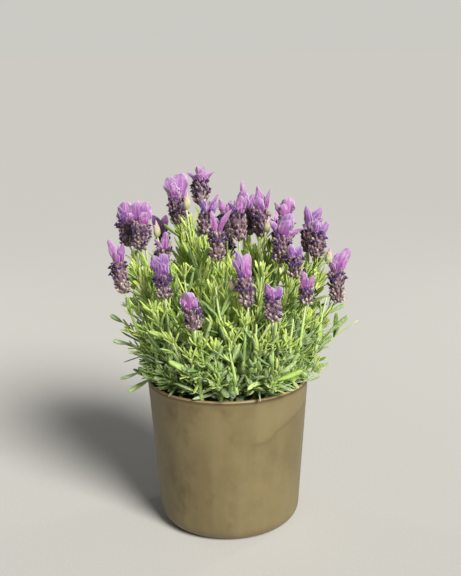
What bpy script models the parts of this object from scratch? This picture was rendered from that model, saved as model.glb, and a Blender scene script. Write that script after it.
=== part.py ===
"""Potted lavender with rabbit-ear flower heads: glazed pot, potting mix, woody crown, branches, flowers.

The origin is the centre of the pot's flat base, +Z is up and the fuller flower side faces -Y.
"""
import math
import random

import bmesh
import bpy
import numpy as np
from mathutils import Quaternion, Vector

MM = 0.001  # every size below is in millimetres; the model is in metres
GAP = 0.4  # air left between two neighbouring pieces

# Pot: plain tapered cover pot with a rounded foot and a thin rolled rim.
POT_SIDES = 44
POT_HEIGHT = 151.0
POT_RIM_RADIUS = 80.5
POT_FOOT_RADIUS = 69.8
POT_FOOT_ROUNDING = 15.0
POT_WALL = 4.2
POT_FLOOR = 6.0
POT_INNER_ROUNDING = 11.0
OUTER_CORNER_STEPS = 5
INNER_CORNER_STEPS = 3
RIM_STOPS = (0, 45, 90, 135, 180)  # degrees round the rolled rim

# Potting mix: fills the pot to a finger's breadth under the rim.
MIX_TOP = 131.0
MIX_RIPPLE = 1.6
MIX_RIPPLE_RADIUS = 58.0
MIX_FLAT_RADIUS = 34.0
MIX_EDGE_DROP = 1.5

# Woody crown: the old wood the branches spring from.
CROWN_SIDES = 18
CROWN_HEIGHT = 8.0
CROWN_RADIUS = 30.0
CROWN_LOBE = 0.035
CROWN_LOBES = 5
CROWN_TOP = MIX_TOP + GAP + CROWN_HEIGHT
# Share of the radius, and height above the foot of the crown.
CROWN_OUTLINE = ((0.95, 0.0), (1.0, 2.5), (0.98, CROWN_HEIGHT - 1.5), (0.93, CROWN_HEIGHT))

# Stems: square in section, as in every mint-family plant, thick at the foot and thin at the flower.
STEM_FOOT = CROWN_TOP + GAP
STEM_HALF_FOOT = 1.35
STEM_HALF_TOP = 0.9
PLANT_TOP = 350.0
ROOT_REACH = 27.0
ROOT_POWER = 0.6
WIDEST_REACH = 290.0
SPREAD_POWER = 0.8
FORK_HEIGHTS = (158.0, 179.0)
FORK_SETTLE = 26.0
KNEE_RISE = 11.0
KNEE_OUT = 2.0
KNEE_UP = 1.4
BAND = 3.0
STEM_STEP = 2.0  # length over which the direction of a stem is measured
SEED = 11

# Leaves: narrow, in opposite pairs, each pair turned a quarter from the one below.
LEAF_START = 170.0
LEAF_SPACING = 19.0
LEAF_LENGTH = 27.0
LEAF_HALF_WIDTH = 2.2
LEAF_HALF_THICK = 0.45
LEAF_RISE = 48.0
LEAF_ROOT_REACH = 7.0
LEAF_NOD = 0.16
LEAF_TURNS = (0, 22, -22, 44, -44)  # degrees tried round the stem, one after the other
LEAF_RISE_TRIES = (0.0, -14.0, 14.0)
LEAF_OVER_RIM = 4.0
FORK_TO_LEAF = 16.0
SHOOT_END = 6.0
BARE_STALK = 26.0

# Room that each kind of part needs round it, so that no leaf grows through it.
STEM_ROOM = 1.9
STEM_ROOM_STEP = 1.5
FLOWER_ROOM = 0.6
BRACT_ROOM_SHARE = 0.42
BRACT_ROOM = 1.0
LEAF_ROOM = 0.5
LEAF_ROOM_TAKEN = 0.4

# Flower heads: foot of the spike, top of the spike, longest bract, widest bract, turn in degrees.
FLOWER_HEADS = {
    "flower_head_01": ((-99, -25, 244), (-102, -27, 272), 22, 8, 20),
    "flower_head_02": ((-96, 22, 280), (-98, 23, 299), 24, 10, 65),
    "flower_head_03": ((-83, -6, 283), (-80, -7, 303), 24, 10, 10),
    "flower_head_04": ((-59, -8, 265), (-60, -8, 281), 16, 6, 40),
    "flower_head_05": ((-58, -45, 243), (-60, -46, 264), 18, 8, 75),
    "flower_head_06": ((-46, 26, 301), (-47, 27, 321), 27, 9, 30),
    "flower_head_07": ((-24, 60, 314), (-24, 62, 331), 20, 7, 50),
    "flower_head_08": ((-21, 25, 290), (-18, 26, 309), 18, 8, 15),
    "flower_head_09": ((-8, -20, 273), (-8, -21, 294), 20, 8, 55),
    "flower_head_10": ((2, 52, 281), (1, 54, 304), 17, 7, 80),
    "flower_head_11": ((14, 20, 284), (13, 20, 307), 18, 7, 35),
    "flower_head_12": ((23, 58, 282), (23, 60, 310), 27, 9, 5),
    "flower_head_13": ((37, 32, 285), (38, 33, 311), 24, 8, 60),
    "flower_head_14": ((53, -12, 268), (55, -13, 288), 21, 8, 25),
    "flower_head_15": ((64, 42, 279), (62, 44, 300), 19, 9, 70),
    "flower_head_16": ((66, -32, 258), (66, -33, 275), 13, 7, 45),
    "flower_head_17": ((83, 32, 268), (86, 34, 291), 21, 8, 0),
    "flower_head_18": ((88, 2, 268), (91, 2, 286), 15, 7, 40),
    "flower_head_19": ((110, -8, 226), (108, -8, 251), 24, 8, 30),
    "flower_head_20": ((20, -70, 240), (17, -71, 263), 26, 12, 10),
    "flower_head_21": ((42, -82, 229), (42, -83, 247), 13, 7, 50),
    "flower_head_22": ((74, -52, 236), (75, -53, 251), 12, 6, 20),
    "flower_head_23": ((-29, -84, 224), (-31, -85, 240), 15, 7, 65),
    "flower_head_24": ((-62, 60, 262), (-65, 62, 283), 20, 8, 15),
    "flower_head_25": ((2, 92, 250), (2, 95, 271), 18, 8, 55),
    "flower_head_26": ((56, 80, 258), (58, 83, 280), 20, 8, 35),
}

# Flower buds still closed: foot and tip of each.
FLOWER_BUDS = {
    "flower_bud_01": ((-37, 0, 319), (-36, 0, 337)),
    "flower_bud_02": ((40, 9, 294), (43, 9, 310)),
    "flower_bud_03": ((102, 24, 257), (105, 25, 274)),
    "flower_bud_04": ((5, -57, 251), (6, -58, 266)),
    "flower_bud_05": ((-68, 26, 287), (-69, 26, 305)),
}

# Branches: what each carries, the leading shoot first, side shoots after it.
BRANCHES = {
    "branch_01": ("flower_head_03", "flower_head_01", "flower_head_02"),
    "branch_02": ("flower_head_05", "flower_head_23"),
    "branch_03": ("flower_head_06", "flower_head_04", "flower_bud_01"),
    "branch_04": ("flower_head_24", "flower_head_07", "flower_bud_05"),
    "branch_05": ("flower_head_09", "flower_head_08"),
    "branch_06": ("flower_head_10", "flower_head_11", "flower_head_12"),
    "branch_07": ("flower_bud_02", "flower_head_13", "flower_head_14"),
    "branch_08": ("flower_head_15", "flower_head_17"),
    "branch_09": ("flower_head_25", "flower_head_26"),
    "branch_10": ("flower_head_18", "flower_bud_03", "flower_head_19"),
    "branch_11": ("flower_head_20", "flower_bud_04", "flower_head_21"),
    "branch_12": ("flower_head_16", "flower_head_22"),
}

# Shoots that carry leaves only: where the tip of each ends.
LEAFY_SHOOTS = {
    "leafy_shoot_01": (-104, 40, 216),
    "leafy_shoot_02": (-94, -54, 206),
    "leafy_shoot_03": (-62, -86, 200),
    "leafy_shoot_04": (-4, -104, 200),
    "leafy_shoot_05": (70, -88, 202),
    "leafy_shoot_06": (101, -44, 206),
    "leafy_shoot_07": (114, 44, 210),
    "leafy_shoot_08": (88, 78, 208),
    "leafy_shoot_09": (32, 108, 204),
    "leafy_shoot_10": (-34, 104, 206),
    "leafy_shoot_11": (-82, 84, 208),
}

# Spike outline: share of its length, share of its half width.
SPIKE_OUTLINE = ((0.0, 0.42), (0.14, 0.86), (0.42, 1.0), (0.74, 0.92), (0.92, 0.72), (1.0, 0.6))
SPIKE_HALF_WIDTH = 7.4
SPIKE_GROOVE = 0.84
SPIKE_SIDES = 8
BRACT_HALF_THICK = 0.45
# A bract's two lower stretches: share of its length, outward lean, share of its width.
BRACT_STRETCHES = ((0.42, 0.34, 0.9), (0.38, 0.22, 1.0))
BRACT_TIP_SHARE = 0.2
BRACT_TIP_LEAN = 0.1
BRACT_SHARES = (1.0, 0.8, 0.92, 0.72)
BUD_SIDES = 9
BUD_OUTLINE = ((0.0, 0.35), (0.2, 0.85), (0.45, 1.0), (0.72, 0.78), (0.92, 0.36))
BUD_HALF_WIDTH = 4.2

LOOKS = {
    "pot": ((0.27, 0.21, 0.09), 0.35),
    "mix": ((0.035, 0.022, 0.014), 0.95),
    "wood": ((0.16, 0.11, 0.07), 0.85),
    "leaf": ((0.26, 0.40, 0.10), 0.65),
    "flower": ((0.34, 0.16, 0.42), 0.7),
    "bud": ((0.50, 0.55, 0.28), 0.7),
}

SQUARE = ((1, 1), (-1, 1), (-1, -1), (1, -1))  # the four corners of a section, in order
MERGE = 0.01  # points nearer than this are one


def clear_scene():
    for item in list(bpy.data.objects):
        bpy.data.objects.remove(item, do_unlink=True)


def make_material(name, look):
    colour, roughness = look
    material = bpy.data.materials.new(name)
    material.use_nodes = True
    shader = material.node_tree.nodes["Principled BSDF"]
    shader.inputs["Base Color"].default_value = (*colour, 1.0)
    shader.inputs["Roughness"].default_value = roughness
    return material


def add_node(name, shape, look, plant):
    """Turns a finished shape into one named object with its own material, under the plant's empty."""
    bmesh.ops.recalc_face_normals(shape, faces=shape.faces)
    bmesh.ops.triangulate(shape, faces=shape.faces)
    mesh = bpy.data.meshes.new(name)
    shape.to_mesh(mesh)
    shape.free()
    mesh.materials.append(make_material(name, look))
    for face in mesh.polygons:
        face.use_smooth = True
    item = bpy.data.objects.new(name, mesh)
    item.parent = plant
    bpy.context.scene.collection.objects.link(item)
    return item


def turn_profile(profile, sides):
    """Spins a profile of (radius, height) pairs that starts and ends on the axis."""
    shape = bmesh.new()
    line = [shape.verts.new((radius * MM, 0.0, height * MM)) for radius, height in profile]
    edges = [shape.edges.new(pair) for pair in zip(line, line[1:])]
    bmesh.ops.spin(shape, geom=line + edges, cent=(0, 0, 0), axis=(0, 0, 1),
                   angle=2 * math.pi, steps=sides, use_merge=True)
    bmesh.ops.remove_doubles(shape, verts=shape.verts, dist=MERGE * MM)
    return shape


def pot_outer_radius(height):
    return POT_FOOT_RADIUS + (POT_RIM_RADIUS - POT_FOOT_RADIUS) * height / POT_HEIGHT


def pot_inner_radius(height):
    return pot_outer_radius(height) - POT_WALL


def rounded_corner(radius_at, floor, rounding, steps):
    """Quarter round from a flat floor up into the wall, as (radius, height) pairs."""
    centre = radius_at(floor + rounding) - rounding
    points = []
    for i in range(steps + 1):
        angle = math.pi / 2 * i / steps
        points.append((centre + rounding * math.sin(angle), floor + rounding * (1 - math.cos(angle))))
    return points


def make_pot(plant):
    outside = rounded_corner(pot_outer_radius, 0.0, POT_FOOT_ROUNDING, OUTER_CORNER_STEPS)
    half = POT_WALL / 2
    rim_middle = POT_RIM_RADIUS - half
    rim = []
    for degrees in RIM_STOPS:
        angle = math.radians(degrees)
        rim.append((rim_middle + half * math.cos(angle), POT_HEIGHT - half + half * math.sin(angle)))
    inside = rounded_corner(pot_inner_radius, POT_FLOOR, POT_INNER_ROUNDING, INNER_CORNER_STEPS)
    profile = [(0.0, 0.0)] + outside + rim + inside[::-1] + [(0.0, POT_FLOOR)]
    add_node("pot", turn_profile(profile, POT_SIDES), LOOKS["pot"], plant)


def make_potting_mix(plant):
    fill = rounded_corner(pot_inner_radius, POT_FLOOR, POT_INNER_ROUNDING, INNER_CORNER_STEPS)
    profile = [(0.0, POT_FLOOR + GAP)] + [(radius - GAP, height + GAP) for radius, height in fill]
    edge = MIX_TOP - MIX_EDGE_DROP
    profile += [(pot_inner_radius(edge) - GAP, edge), (MIX_RIPPLE_RADIUS, MIX_TOP)]
    profile += [(MIX_FLAT_RADIUS, MIX_TOP), (0.0, MIX_TOP)]
    shape = turn_profile(profile, POT_SIDES)
    for corner in shape.verts:
        if abs(corner.co.xy.length - MIX_RIPPLE_RADIUS * MM) < 0.5 * MM and corner.co.z > 0.9 * MIX_TOP * MM:
            angle = math.atan2(corner.co.y, corner.co.x)
            corner.co.z += MIX_RIPPLE * MM * math.sin(5 * angle) * math.cos(3 * angle)
    add_node("potting_mix", shape, LOOKS["mix"], plant)


def make_crown(plant):
    low = MIX_TOP + GAP
    outline = [(CROWN_RADIUS * share, low + height) for share, height in CROWN_OUTLINE]
    profile = [(0.0, low)] + outline + [(0.0, CROWN_TOP)]
    shape = turn_profile(profile, CROWN_SIDES)
    for corner in shape.verts:
        lobe = 1 + CROWN_LOBE * math.sin(CROWN_LOBES * math.atan2(corner.co.y, corner.co.x) + 0.6)
        corner.co.x *= lobe
        corner.co.y *= lobe
    add_node("woody_crown", shape, LOOKS["wood"], plant)


def section(shape, centre, side, up, half_side, half_up):
    """Four corners of a stem or leaf cross-section."""
    return [shape.verts.new((centre + side * (a * half_side) + up * (b * half_up)) * MM) for a, b in SQUARE]


def band_faces(low, high):
    return [[low[i], low[i - 3], high[i - 3], high[i]] for i in range(4)]


def carry_on(shape, low, centre, side, up, half_side, half_up):
    """Extends a four-cornered opening to a new cross-section."""
    high = section(shape, centre, side, up, half_side, half_up)
    for face in band_faces(low, high):
        shape.faces.new(face)
    return high


def close_to_point(shape, opening, place):
    tip = shape.verts.new(place * MM)
    for i in range(len(opening)):
        shape.faces.new((opening[i - 1], opening[i], tip))


def spread(height):
    """Share of its widest reach that a shoot has at a height: quick at first, then more upright."""
    return max(0.0, (height - STEM_FOOT) / (PLANT_TOP - STEM_FOOT)) ** SPREAD_POWER


def way_point(tip, height):
    """Where the stem that ends at a tip passes a height; wide stems start at the crown's edge."""
    reach = math.hypot(tip.x, tip.y)
    root = ROOT_REACH * (reach / spread(tip.z) / WIDEST_REACH) ** ROOT_POWER
    scale = root / reach + (1 - root / reach) * spread(height) / spread(tip.z)
    return Vector((tip.x * scale, tip.y * scale, height))


def side_way_point(tip, leader, fork, height):
    """A side shoot leaves its leader at the fork and settles on its own line above it."""
    share = min(1.0, (height - fork) / FORK_SETTLE)
    return way_point(leader, height).lerp(way_point(tip, height), math.sin(share * math.pi / 2))


def across(direction, hint):
    """Unit vector square to a direction and nearest to the hint."""
    flat = hint - direction * hint.dot(direction)
    return flat.normalized()


class Shoot:
    """One stem line: where it is at each height, where its leaves and forks sit."""

    def __init__(self, tip, lean, start, leaf_stop, place):
        self.tip = tip
        self.lean = lean
        self.start = start
        self.place = place
        self.forks = []
        self.pairs = []
        height = max(LEAF_START, start + FORK_TO_LEAF)
        while height < leaf_stop:
            self.pairs.append(height)
            height += LEAF_SPACING

    def heights(self):
        marks = {self.start: "start", self.tip.z: "end"}
        for height in self.pairs:
            marks[height] = "leaves"
        for height in self.forks:
            marks[height] = "fork"
        return sorted(marks.items())

    def direction(self, height):
        if height <= STEM_FOOT:
            return Vector((0, 0, 1))
        if height >= self.tip.z:
            return self.lean
        low = self.place(max(self.start, height - STEM_STEP))
        high = self.place(min(self.tip.z, height + STEM_STEP))
        return (high - low).normalized()

    def half(self, height):
        share = (height - STEM_FOOT) / (PLANT_TOP - STEM_FOOT)
        return STEM_HALF_FOOT + (STEM_HALF_TOP - STEM_HALF_FOOT) * share


def plan_shoots():
    """Works out the line of every shoot before any is built."""
    tips = {}
    leans = {}
    for name, (foot, top, *_rest) in list(FLOWER_HEADS.items()) + list(FLOWER_BUDS.items()):
        leans[name] = (Vector(top) - Vector(foot)).normalized()
        tips[name] = Vector(foot) - leans[name] * GAP
    plan = {}
    for branch, carried in BRANCHES.items():
        leader_tip = tips[carried[0]]
        leader = Shoot(leader_tip, leans[carried[0]], STEM_FOOT, leader_tip.z - BARE_STALK,
                       lambda height, tip=leader_tip: way_point(tip, height))
        shoots = [leader]
        for fork, name in zip(FORK_HEIGHTS, carried[1:]):
            leader.forks.append(fork)
            tip = tips[name]
            shoots.append(Shoot(tip, leans[name], fork + BAND / 2, tip.z - BARE_STALK,
                                lambda height, tip=tip, leader_tip=leader_tip, fork=fork:
                                side_way_point(tip, leader_tip, fork, height)))
        plan[branch] = shoots
    for name, tip in LEAFY_SHOOTS.items():
        tip = Vector(tip)
        lean = Vector((0, 0, 1))
        plan[name] = [Shoot(tip, lean, STEM_FOOT, tip.z - SHOOT_END,
                            lambda height, tip=tip: way_point(tip, height))]
    return plan


class Room:
    """What is already in the air above the pot, as round samples, so that leaves can keep clear."""

    def __init__(self):
        self.centres = []
        self.radii = []
        self.owners = []

    def add_line(self, points, radius, owner):
        for point in points:
            self.centres.append(tuple(point))
            self.radii.append(radius)
            self.owners.append(owner)

    def is_clear(self, points, radius, root, owner):
        """True if a leaf along the points misses everything but the stem it grows from."""
        centres = np.array(self.centres)
        needed = np.array(self.radii) + radius
        own = np.array(self.owners) == owner
        near = np.linalg.norm(centres - np.array(root), axis=1) < LEAF_ROOT_REACH
        needed[own & near] = 0.0
        for point in points:
            if (np.linalg.norm(centres - np.array(point), axis=1) < needed).any():
                return False
        return True


def fill_room(plan):
    room = Room()
    number = 0
    for shoots in plan.values():
        for shoot in shoots:
            shoot.number = number
            steps = int((shoot.tip.z - shoot.start) / STEM_ROOM_STEP)
            heights = [shoot.start + (shoot.tip.z - shoot.start) * i / steps for i in range(steps + 1)]
            room.add_line([shoot.place(height) for height in heights], STEM_ROOM, number)
            number += 1
    for foot, top, length, _width, _turn in FLOWER_HEADS.values():
        foot = Vector(foot)
        top = Vector(top)
        end = top + (top - foot).normalized() * length
        room.add_line([foot.lerp(top, i / 8) for i in range(9)], SPIKE_HALF_WIDTH + FLOWER_ROOM, -1)
        room.add_line([top.lerp(end, i / 8) for i in range(9)], BRACT_ROOM_SHARE * length + BRACT_ROOM, -1)
    for foot, top in FLOWER_BUDS.values():
        bud = [Vector(foot).lerp(Vector(top), i / 6) for i in range(7)]
        room.add_line(bud, BUD_HALF_WIDTH + FLOWER_ROOM, -1)
    return room


def add_leaf(shape, opening, root, axis, outward, owner, room, dice):
    """Grows one leaf from a stem face at the first angle that keeps clear, or closes the face."""
    length = LEAF_LENGTH * dice.uniform(0.8, 1.15)
    sideways = axis.cross(outward)
    for turn in LEAF_TURNS:
        heading = outward * math.cos(math.radians(turn)) + sideways * math.sin(math.radians(turn))
        for more in LEAF_RISE_TRIES:
            rise = math.radians(LEAF_RISE + more)
            direction = heading * math.sin(rise) + axis * math.cos(rise)
            middle = root + direction * (length * 0.5)
            tip = root + direction * length + heading * (length * LEAF_NOD)
            samples = [root.lerp(middle, share) for share in (0.3, 0.5, 0.75, 1.0)]
            samples += [middle.lerp(tip, share) for share in (0.2, 0.4, 0.6, 0.8, 1.0)]
            if min(sample.z for sample in samples) < POT_HEIGHT + LEAF_OVER_RIM:
                continue
            if not room.is_clear(samples, LEAF_HALF_WIDTH + LEAF_ROOM, root, owner):
                continue
            room.add_line(samples, LEAF_HALF_WIDTH + LEAF_ROOM_TAKEN, -1)
            width_way = across(direction, opening[0].co - opening[1].co)
            thick_way = across(direction, opening[0].co - opening[3].co)
            blade = carry_on(shape, opening, middle, width_way, thick_way,
                             LEAF_HALF_WIDTH, LEAF_HALF_THICK)
            close_to_point(shape, blade, tip)
            return
    shape.faces.new(opening)


def outward_of(face, centre):
    """Direction a stem face looks in, away from the stem's own centre."""
    normal = (face[0].co - face[1].co).cross(face[2].co - face[1].co).normalized()
    middle = sum((corner.co for corner in face), Vector()) / (4 * MM)
    return normal if normal.dot(middle - centre) > 0 else -normal


def grow_shoot(shape, shoot, low, side, up, first_pair, targets, room, dice):
    """Builds a square stem upward from a section, with its leaves; returns the openings of its forks."""
    openings = []
    pair = first_pair
    for height, kind in shoot.heights():
        centre = shoot.place(height)
        axis = shoot.direction(height)
        side = across(axis, side)
        up = across(axis, side.cross(axis) if side.cross(axis).dot(up) > 0 else axis.cross(side))
        half = shoot.half(height)
        if kind == "start":
            continue
        low = carry_on(shape, low, centre, side, up, half, half)
        if kind == "end":
            shape.faces.new(low)
            continue
        above = shoot.place(height + BAND)
        high = section(shape, above, side, up, half, half)
        faces = band_faces(low, high)
        middle = centre.lerp(above, 0.5)
        low = high
        if kind == "fork":
            aim = targets.pop(0) - middle
            opening = max(faces, key=lambda face: outward_of(face, middle).dot(aim))
            openings.append((opening, axis, outward_of(opening, middle)))
            faces.remove(opening)
        for i, face in enumerate(faces):
            if kind == "leaves" and i % 2 == pair % 2:
                outward = outward_of(face, middle)
                add_leaf(shape, face, middle + outward * half, axis, outward, shoot.number, room, dice)
            else:
                shape.faces.new(face)
        if kind == "leaves":
            pair += 1
    return openings


def grow_leader(shape, shoot, targets, room, dice):
    """A leading shoot stands square on the woody crown."""
    base = shoot.place(shoot.start)
    side = Vector((-base.y, base.x, 0)).normalized()
    up = Vector((0, 0, 1)).cross(side)
    half = shoot.half(shoot.start)
    foot = section(shape, base, side, up, half, half)
    shape.faces.new(foot)
    return grow_shoot(shape, shoot, foot, side, up, dice.randrange(2), targets, room, dice)


def grow_side_shoot(shape, shoot, opening, room, dice):
    """A side shoot leaves a face of its leader, turns up through a knee and goes on as a stem."""
    face, axis, outward = opening
    side = (face[0].co - face[1].co) + (face[3].co - face[2].co)
    up = (face[0].co - face[3].co) + (face[1].co - face[2].co)
    middle = sum((corner.co for corner in face), Vector()) / (4 * MM)
    settled = shoot.start + KNEE_RISE
    half = shoot.half(settled)
    steps = ((middle + outward * KNEE_OUT + axis * KNEE_UP, (outward + axis).normalized()),
             (shoot.place(settled), shoot.direction(settled)))
    low = face
    for centre, heading in steps:
        side = across(heading, side)
        up = across(heading, up - side * up.dot(side))
        low = carry_on(shape, low, centre, side, up, half, half)
    grow_shoot(shape, shoot, low, side, up, dice.randrange(2), [], room, dice)


def make_stems(plan, plant):
    room = fill_room(plan)
    dice = random.Random(SEED)
    for name, shoots in plan.items():
        shape = bmesh.new()
        targets = [shoot.place(shoot.start + FORK_SETTLE) for shoot in shoots[1:]]
        openings = grow_leader(shape, shoots[0], targets, room, dice)
        for shoot, opening in zip(shoots[1:], openings):
            grow_side_shoot(shape, shoot, opening, room, dice)
        add_node(name, shape, LOOKS["leaf"], plant)


def ring(shape, height, radii):
    """One level ring of corners about the local axis."""
    corners = []
    for i, radius in enumerate(radii):
        angle = 2 * math.pi * i / len(radii)
        place = Vector((radius * math.cos(angle), radius * math.sin(angle), height))
        corners.append(shape.verts.new(place * MM))
    return corners


def stand_along(item, foot, top, turn):
    """Places a flower built upright at the origin on the end of its stalk."""
    lean = (Vector(top) - Vector(foot)).normalized()
    item.location = Vector(foot) * MM
    item.rotation_mode = "QUATERNION"
    item.rotation_quaternion = (lean.to_track_quat("Z", "Y") @ Quaternion((0, 0, 1), math.radians(turn)))


def add_bract(shape, face, length, width):
    """One petal-like bract: leaves the top of the spike, widens and leans slightly outward."""
    axis = Vector((0, 0, 1))
    place = sum((corner.co for corner in face), Vector()) / (4 * MM)
    outward = Vector((place.x, place.y, 0)).normalized()
    edge = face[0].co - face[1].co
    low = face
    for share, lean, wide in BRACT_STRETCHES:
        heading = (axis + outward * lean).normalized()
        place = place + heading * (length * share)
        low = carry_on(shape, low, place, across(heading, edge), across(heading, outward),
                       width * wide / 2, BRACT_HALF_THICK)
    heading = (axis + outward * BRACT_TIP_LEAN).normalized()
    close_to_point(shape, low, place + heading * (length * BRACT_TIP_SHARE))


def make_head(name, plant):
    foot, top, length, width, turn = FLOWER_HEADS[name]
    tall = (Vector(top) - Vector(foot)).length
    shape = bmesh.new()
    rings = []
    for share, wide in SPIKE_OUTLINE:
        radii = [SPIKE_HALF_WIDTH * wide * (SPIKE_GROOVE if i % 2 else 1.0) for i in range(SPIKE_SIDES)]
        rings.append(ring(shape, tall * share, radii))
    shape.faces.new(rings[0])
    shape.faces.new(rings[-1])
    for low, high in zip(rings, rings[1:]):
        for i in range(SPIKE_SIDES):
            after = (i + 1) % SPIKE_SIDES
            face = [low[i], low[after], high[after], high[i]]
            if low is rings[-2] and i % 2 == 0:
                add_bract(shape, face, length * BRACT_SHARES[i // 2], width)
            else:
                shape.faces.new(face)
    stand_along(add_node(name, shape, LOOKS["flower"], plant), foot, top, turn)


def make_bud(name, plant):
    foot, top = FLOWER_BUDS[name]
    tall = (Vector(top) - Vector(foot)).length
    profile = [(0.0, 0.0)] + [(BUD_HALF_WIDTH * wide, tall * share) for share, wide in BUD_OUTLINE]
    shape = turn_profile(profile + [(0.0, tall)], BUD_SIDES)
    stand_along(add_node(name, shape, LOOKS["bud"], plant), foot, top, 0.0)


def main():
    clear_scene()
    plant = bpy.data.objects.new("potted_lavender", None)
    bpy.context.scene.collection.objects.link(plant)
    make_pot(plant)
    make_potting_mix(plant)
    make_crown(plant)
    make_stems(plan_shoots(), plant)
    for name in FLOWER_HEADS:
        make_head(name, plant)
    for name in FLOWER_BUDS:
        make_bud(name, plant)


main()
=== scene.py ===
import math
import random

import bpy
import numpy as np
from mathutils import Matrix, Vector


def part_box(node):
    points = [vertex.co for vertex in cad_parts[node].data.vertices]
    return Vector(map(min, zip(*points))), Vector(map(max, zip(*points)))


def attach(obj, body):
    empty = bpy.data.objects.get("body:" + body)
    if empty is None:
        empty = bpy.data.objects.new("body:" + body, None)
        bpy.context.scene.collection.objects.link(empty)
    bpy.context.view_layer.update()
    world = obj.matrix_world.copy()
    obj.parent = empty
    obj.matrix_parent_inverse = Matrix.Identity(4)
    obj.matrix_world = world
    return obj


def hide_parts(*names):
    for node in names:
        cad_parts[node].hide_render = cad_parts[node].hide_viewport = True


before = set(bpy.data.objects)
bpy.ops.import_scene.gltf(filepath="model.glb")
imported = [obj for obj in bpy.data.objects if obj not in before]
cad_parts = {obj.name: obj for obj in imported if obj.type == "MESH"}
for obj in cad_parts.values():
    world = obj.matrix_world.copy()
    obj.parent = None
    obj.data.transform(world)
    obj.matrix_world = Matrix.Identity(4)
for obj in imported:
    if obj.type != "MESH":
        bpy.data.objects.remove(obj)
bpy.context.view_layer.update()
MM = 0.001

# ---------------------------------------------------------------------------------------------
# Pot: a stoneware cover pot thrown on the wheel, dipped in a khaki glaze that stays matt.
# The glaze thins to a pale line over the rim, partly a painted highlight, breaks brown just under it
# and has one slow run on the right-hand side; its brown clouds on the left side are partly painted shade.
# The rounded foot is wiped, so that it doesn't stick to the kiln shelf.
pot_low, pot_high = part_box("pot")
POT_SIDES = 200
POT_HEIGHT = pot_high.z - pot_low.z
RIM_RADIUS = (pot_high.x - pot_low.x) / 2
FOOT_RADIUS = 69.8 * MM
FOOT_ROUNDING = 15 * MM
FOOT_HOLLOW = 0.9 * MM
FOOT_HOLLOW_RADIUS = 45 * MM
FOOT_RING_RADIUS = 49.5 * MM
POT_WALL = 4.2 * MM
POT_FLOOR = 6 * MM
INNER_CORNER = 11 * MM
RIM_BEAD = 0.5 * MM
RIM_STARTS_BELOW = 3.4 * MM
INSIDE_STARTS_BELOW = 4 * MM
WALL_WANDER = 0.18 * MM
FINGER_RING_DEPTH = 0.06 * MM
FINGER_RING_PITCH = 2.1 * MM
# The lower edge of the second coat: share of the way round, starting at the back, and share of the height.
SECOND_COAT_EDGE = (
    (0.40, 0.72), (0.530, 0.69), (0.552, 0.683), (0.573, 0.682), (0.587, 0.693), (0.595, 0.722),
    (0.607, 0.746), (0.637, 0.781), (0.665, 0.805), (0.72, 0.83), (0.80, 0.90), (0.92, 0.80),
)
SECOND_COAT_AT_BACK = (0.72, 0.80)
SECOND_COAT_WANDER = 6 * MM
COAT_LINE_BELOW = 1.2 * MM
RIM_WOBBLE = 1.2 * MM
GLAZE_RELIEF = 0.18 * MM
BLACK = (0.0, 0.0, 0.0)
WHITE = (1.0, 1.0, 1.0)
KHAKI_DEEP = (0.158, 0.122, 0.054)
KHAKI = (0.222, 0.176, 0.082)
KHAKI_RUN = (0.234, 0.188, 0.094)
IRON_SPECK = (0.13, 0.095, 0.040)
BROWN_CLOUD_AND_SHADE = (0.096, 0.064, 0.024)
SECOND_COAT = (0.252, 0.208, 0.104)
COAT_LINE = (0.142, 0.104, 0.044)
RIM_TOP = (0.26, 0.19, 0.095)
RIM_PALE_AND_HIGHLIGHT = (0.36, 0.27, 0.135)
RIM_BREAK = (0.100, 0.058, 0.024)
RIM_BREAK_SOFT = (0.125, 0.086, 0.036)
UNDER_RIM = (0.215, 0.170, 0.072)
WIPED_CLAY = (0.36, 0.27, 0.17)


def pot_outside(height):
    return FOOT_RADIUS + (RIM_RADIUS - FOOT_RADIUS) * height / POT_HEIGHT


def pot_profile():
    """Radius and height of the clay, from the middle of the foot up the outside and over the rim."""
    points = [(0.0, FOOT_HOLLOW), (FOOT_HOLLOW_RADIUS, FOOT_HOLLOW), (FOOT_RING_RADIUS, 0.0)]
    points.append((FOOT_RADIUS - FOOT_ROUNDING, 0.0))
    for step in range(1, 13):
        turn = math.radians(90 * step / 12)
        radius = pot_outside(FOOT_ROUNDING) - FOOT_ROUNDING + FOOT_ROUNDING * math.sin(turn)
        points.append((radius, FOOT_ROUNDING - FOOT_ROUNDING * math.cos(turn)))
    for step in range(1, 33):
        height = FOOT_ROUNDING + (POT_HEIGHT - RIM_STARTS_BELOW - FOOT_ROUNDING) * step / 32
        points.append((pot_outside(height), height))
    middle = RIM_RADIUS - POT_WALL / 2
    for step in range(13):
        turn = math.radians(180 * step / 12)
        bead = POT_WALL / 2 + RIM_BEAD * math.sin(turn)
        rise = POT_HEIGHT - POT_WALL / 2 - RIM_BEAD
        points.append((middle + POT_WALL / 2 * math.cos(turn), rise + bead * math.sin(turn)))
    inside_top = POT_HEIGHT - INSIDE_STARTS_BELOW
    for step in range(24):
        height = inside_top - (inside_top - POT_FLOOR - INNER_CORNER) * step / 23
        points.append((pot_outside(height) - POT_WALL, height))
    for step in range(1, 9):
        turn = math.radians(90 * step / 8)
        radius = pot_outside(POT_FLOOR) - POT_WALL - INNER_CORNER + INNER_CORNER * math.cos(turn)
        points.append((radius, POT_FLOOR + INNER_CORNER - INNER_CORNER * math.sin(turn)))
    points.append((0.0, POT_FLOOR))
    return points


def mesh_object(name, points, faces, look):
    """A smooth-shaded piece from points and faces, riding on the one body."""
    mesh = bpy.data.meshes.new(name)
    mesh.from_pydata(points, [], faces)
    mesh.polygons.foreach_set("use_smooth", [True] * len(mesh.polygons))
    mesh.update()
    for material in look:
        mesh.materials.append(material)
    piece = bpy.data.objects.new(name, mesh)
    bpy.context.scene.collection.objects.link(piece)
    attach(piece, "root")
    return piece


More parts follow.
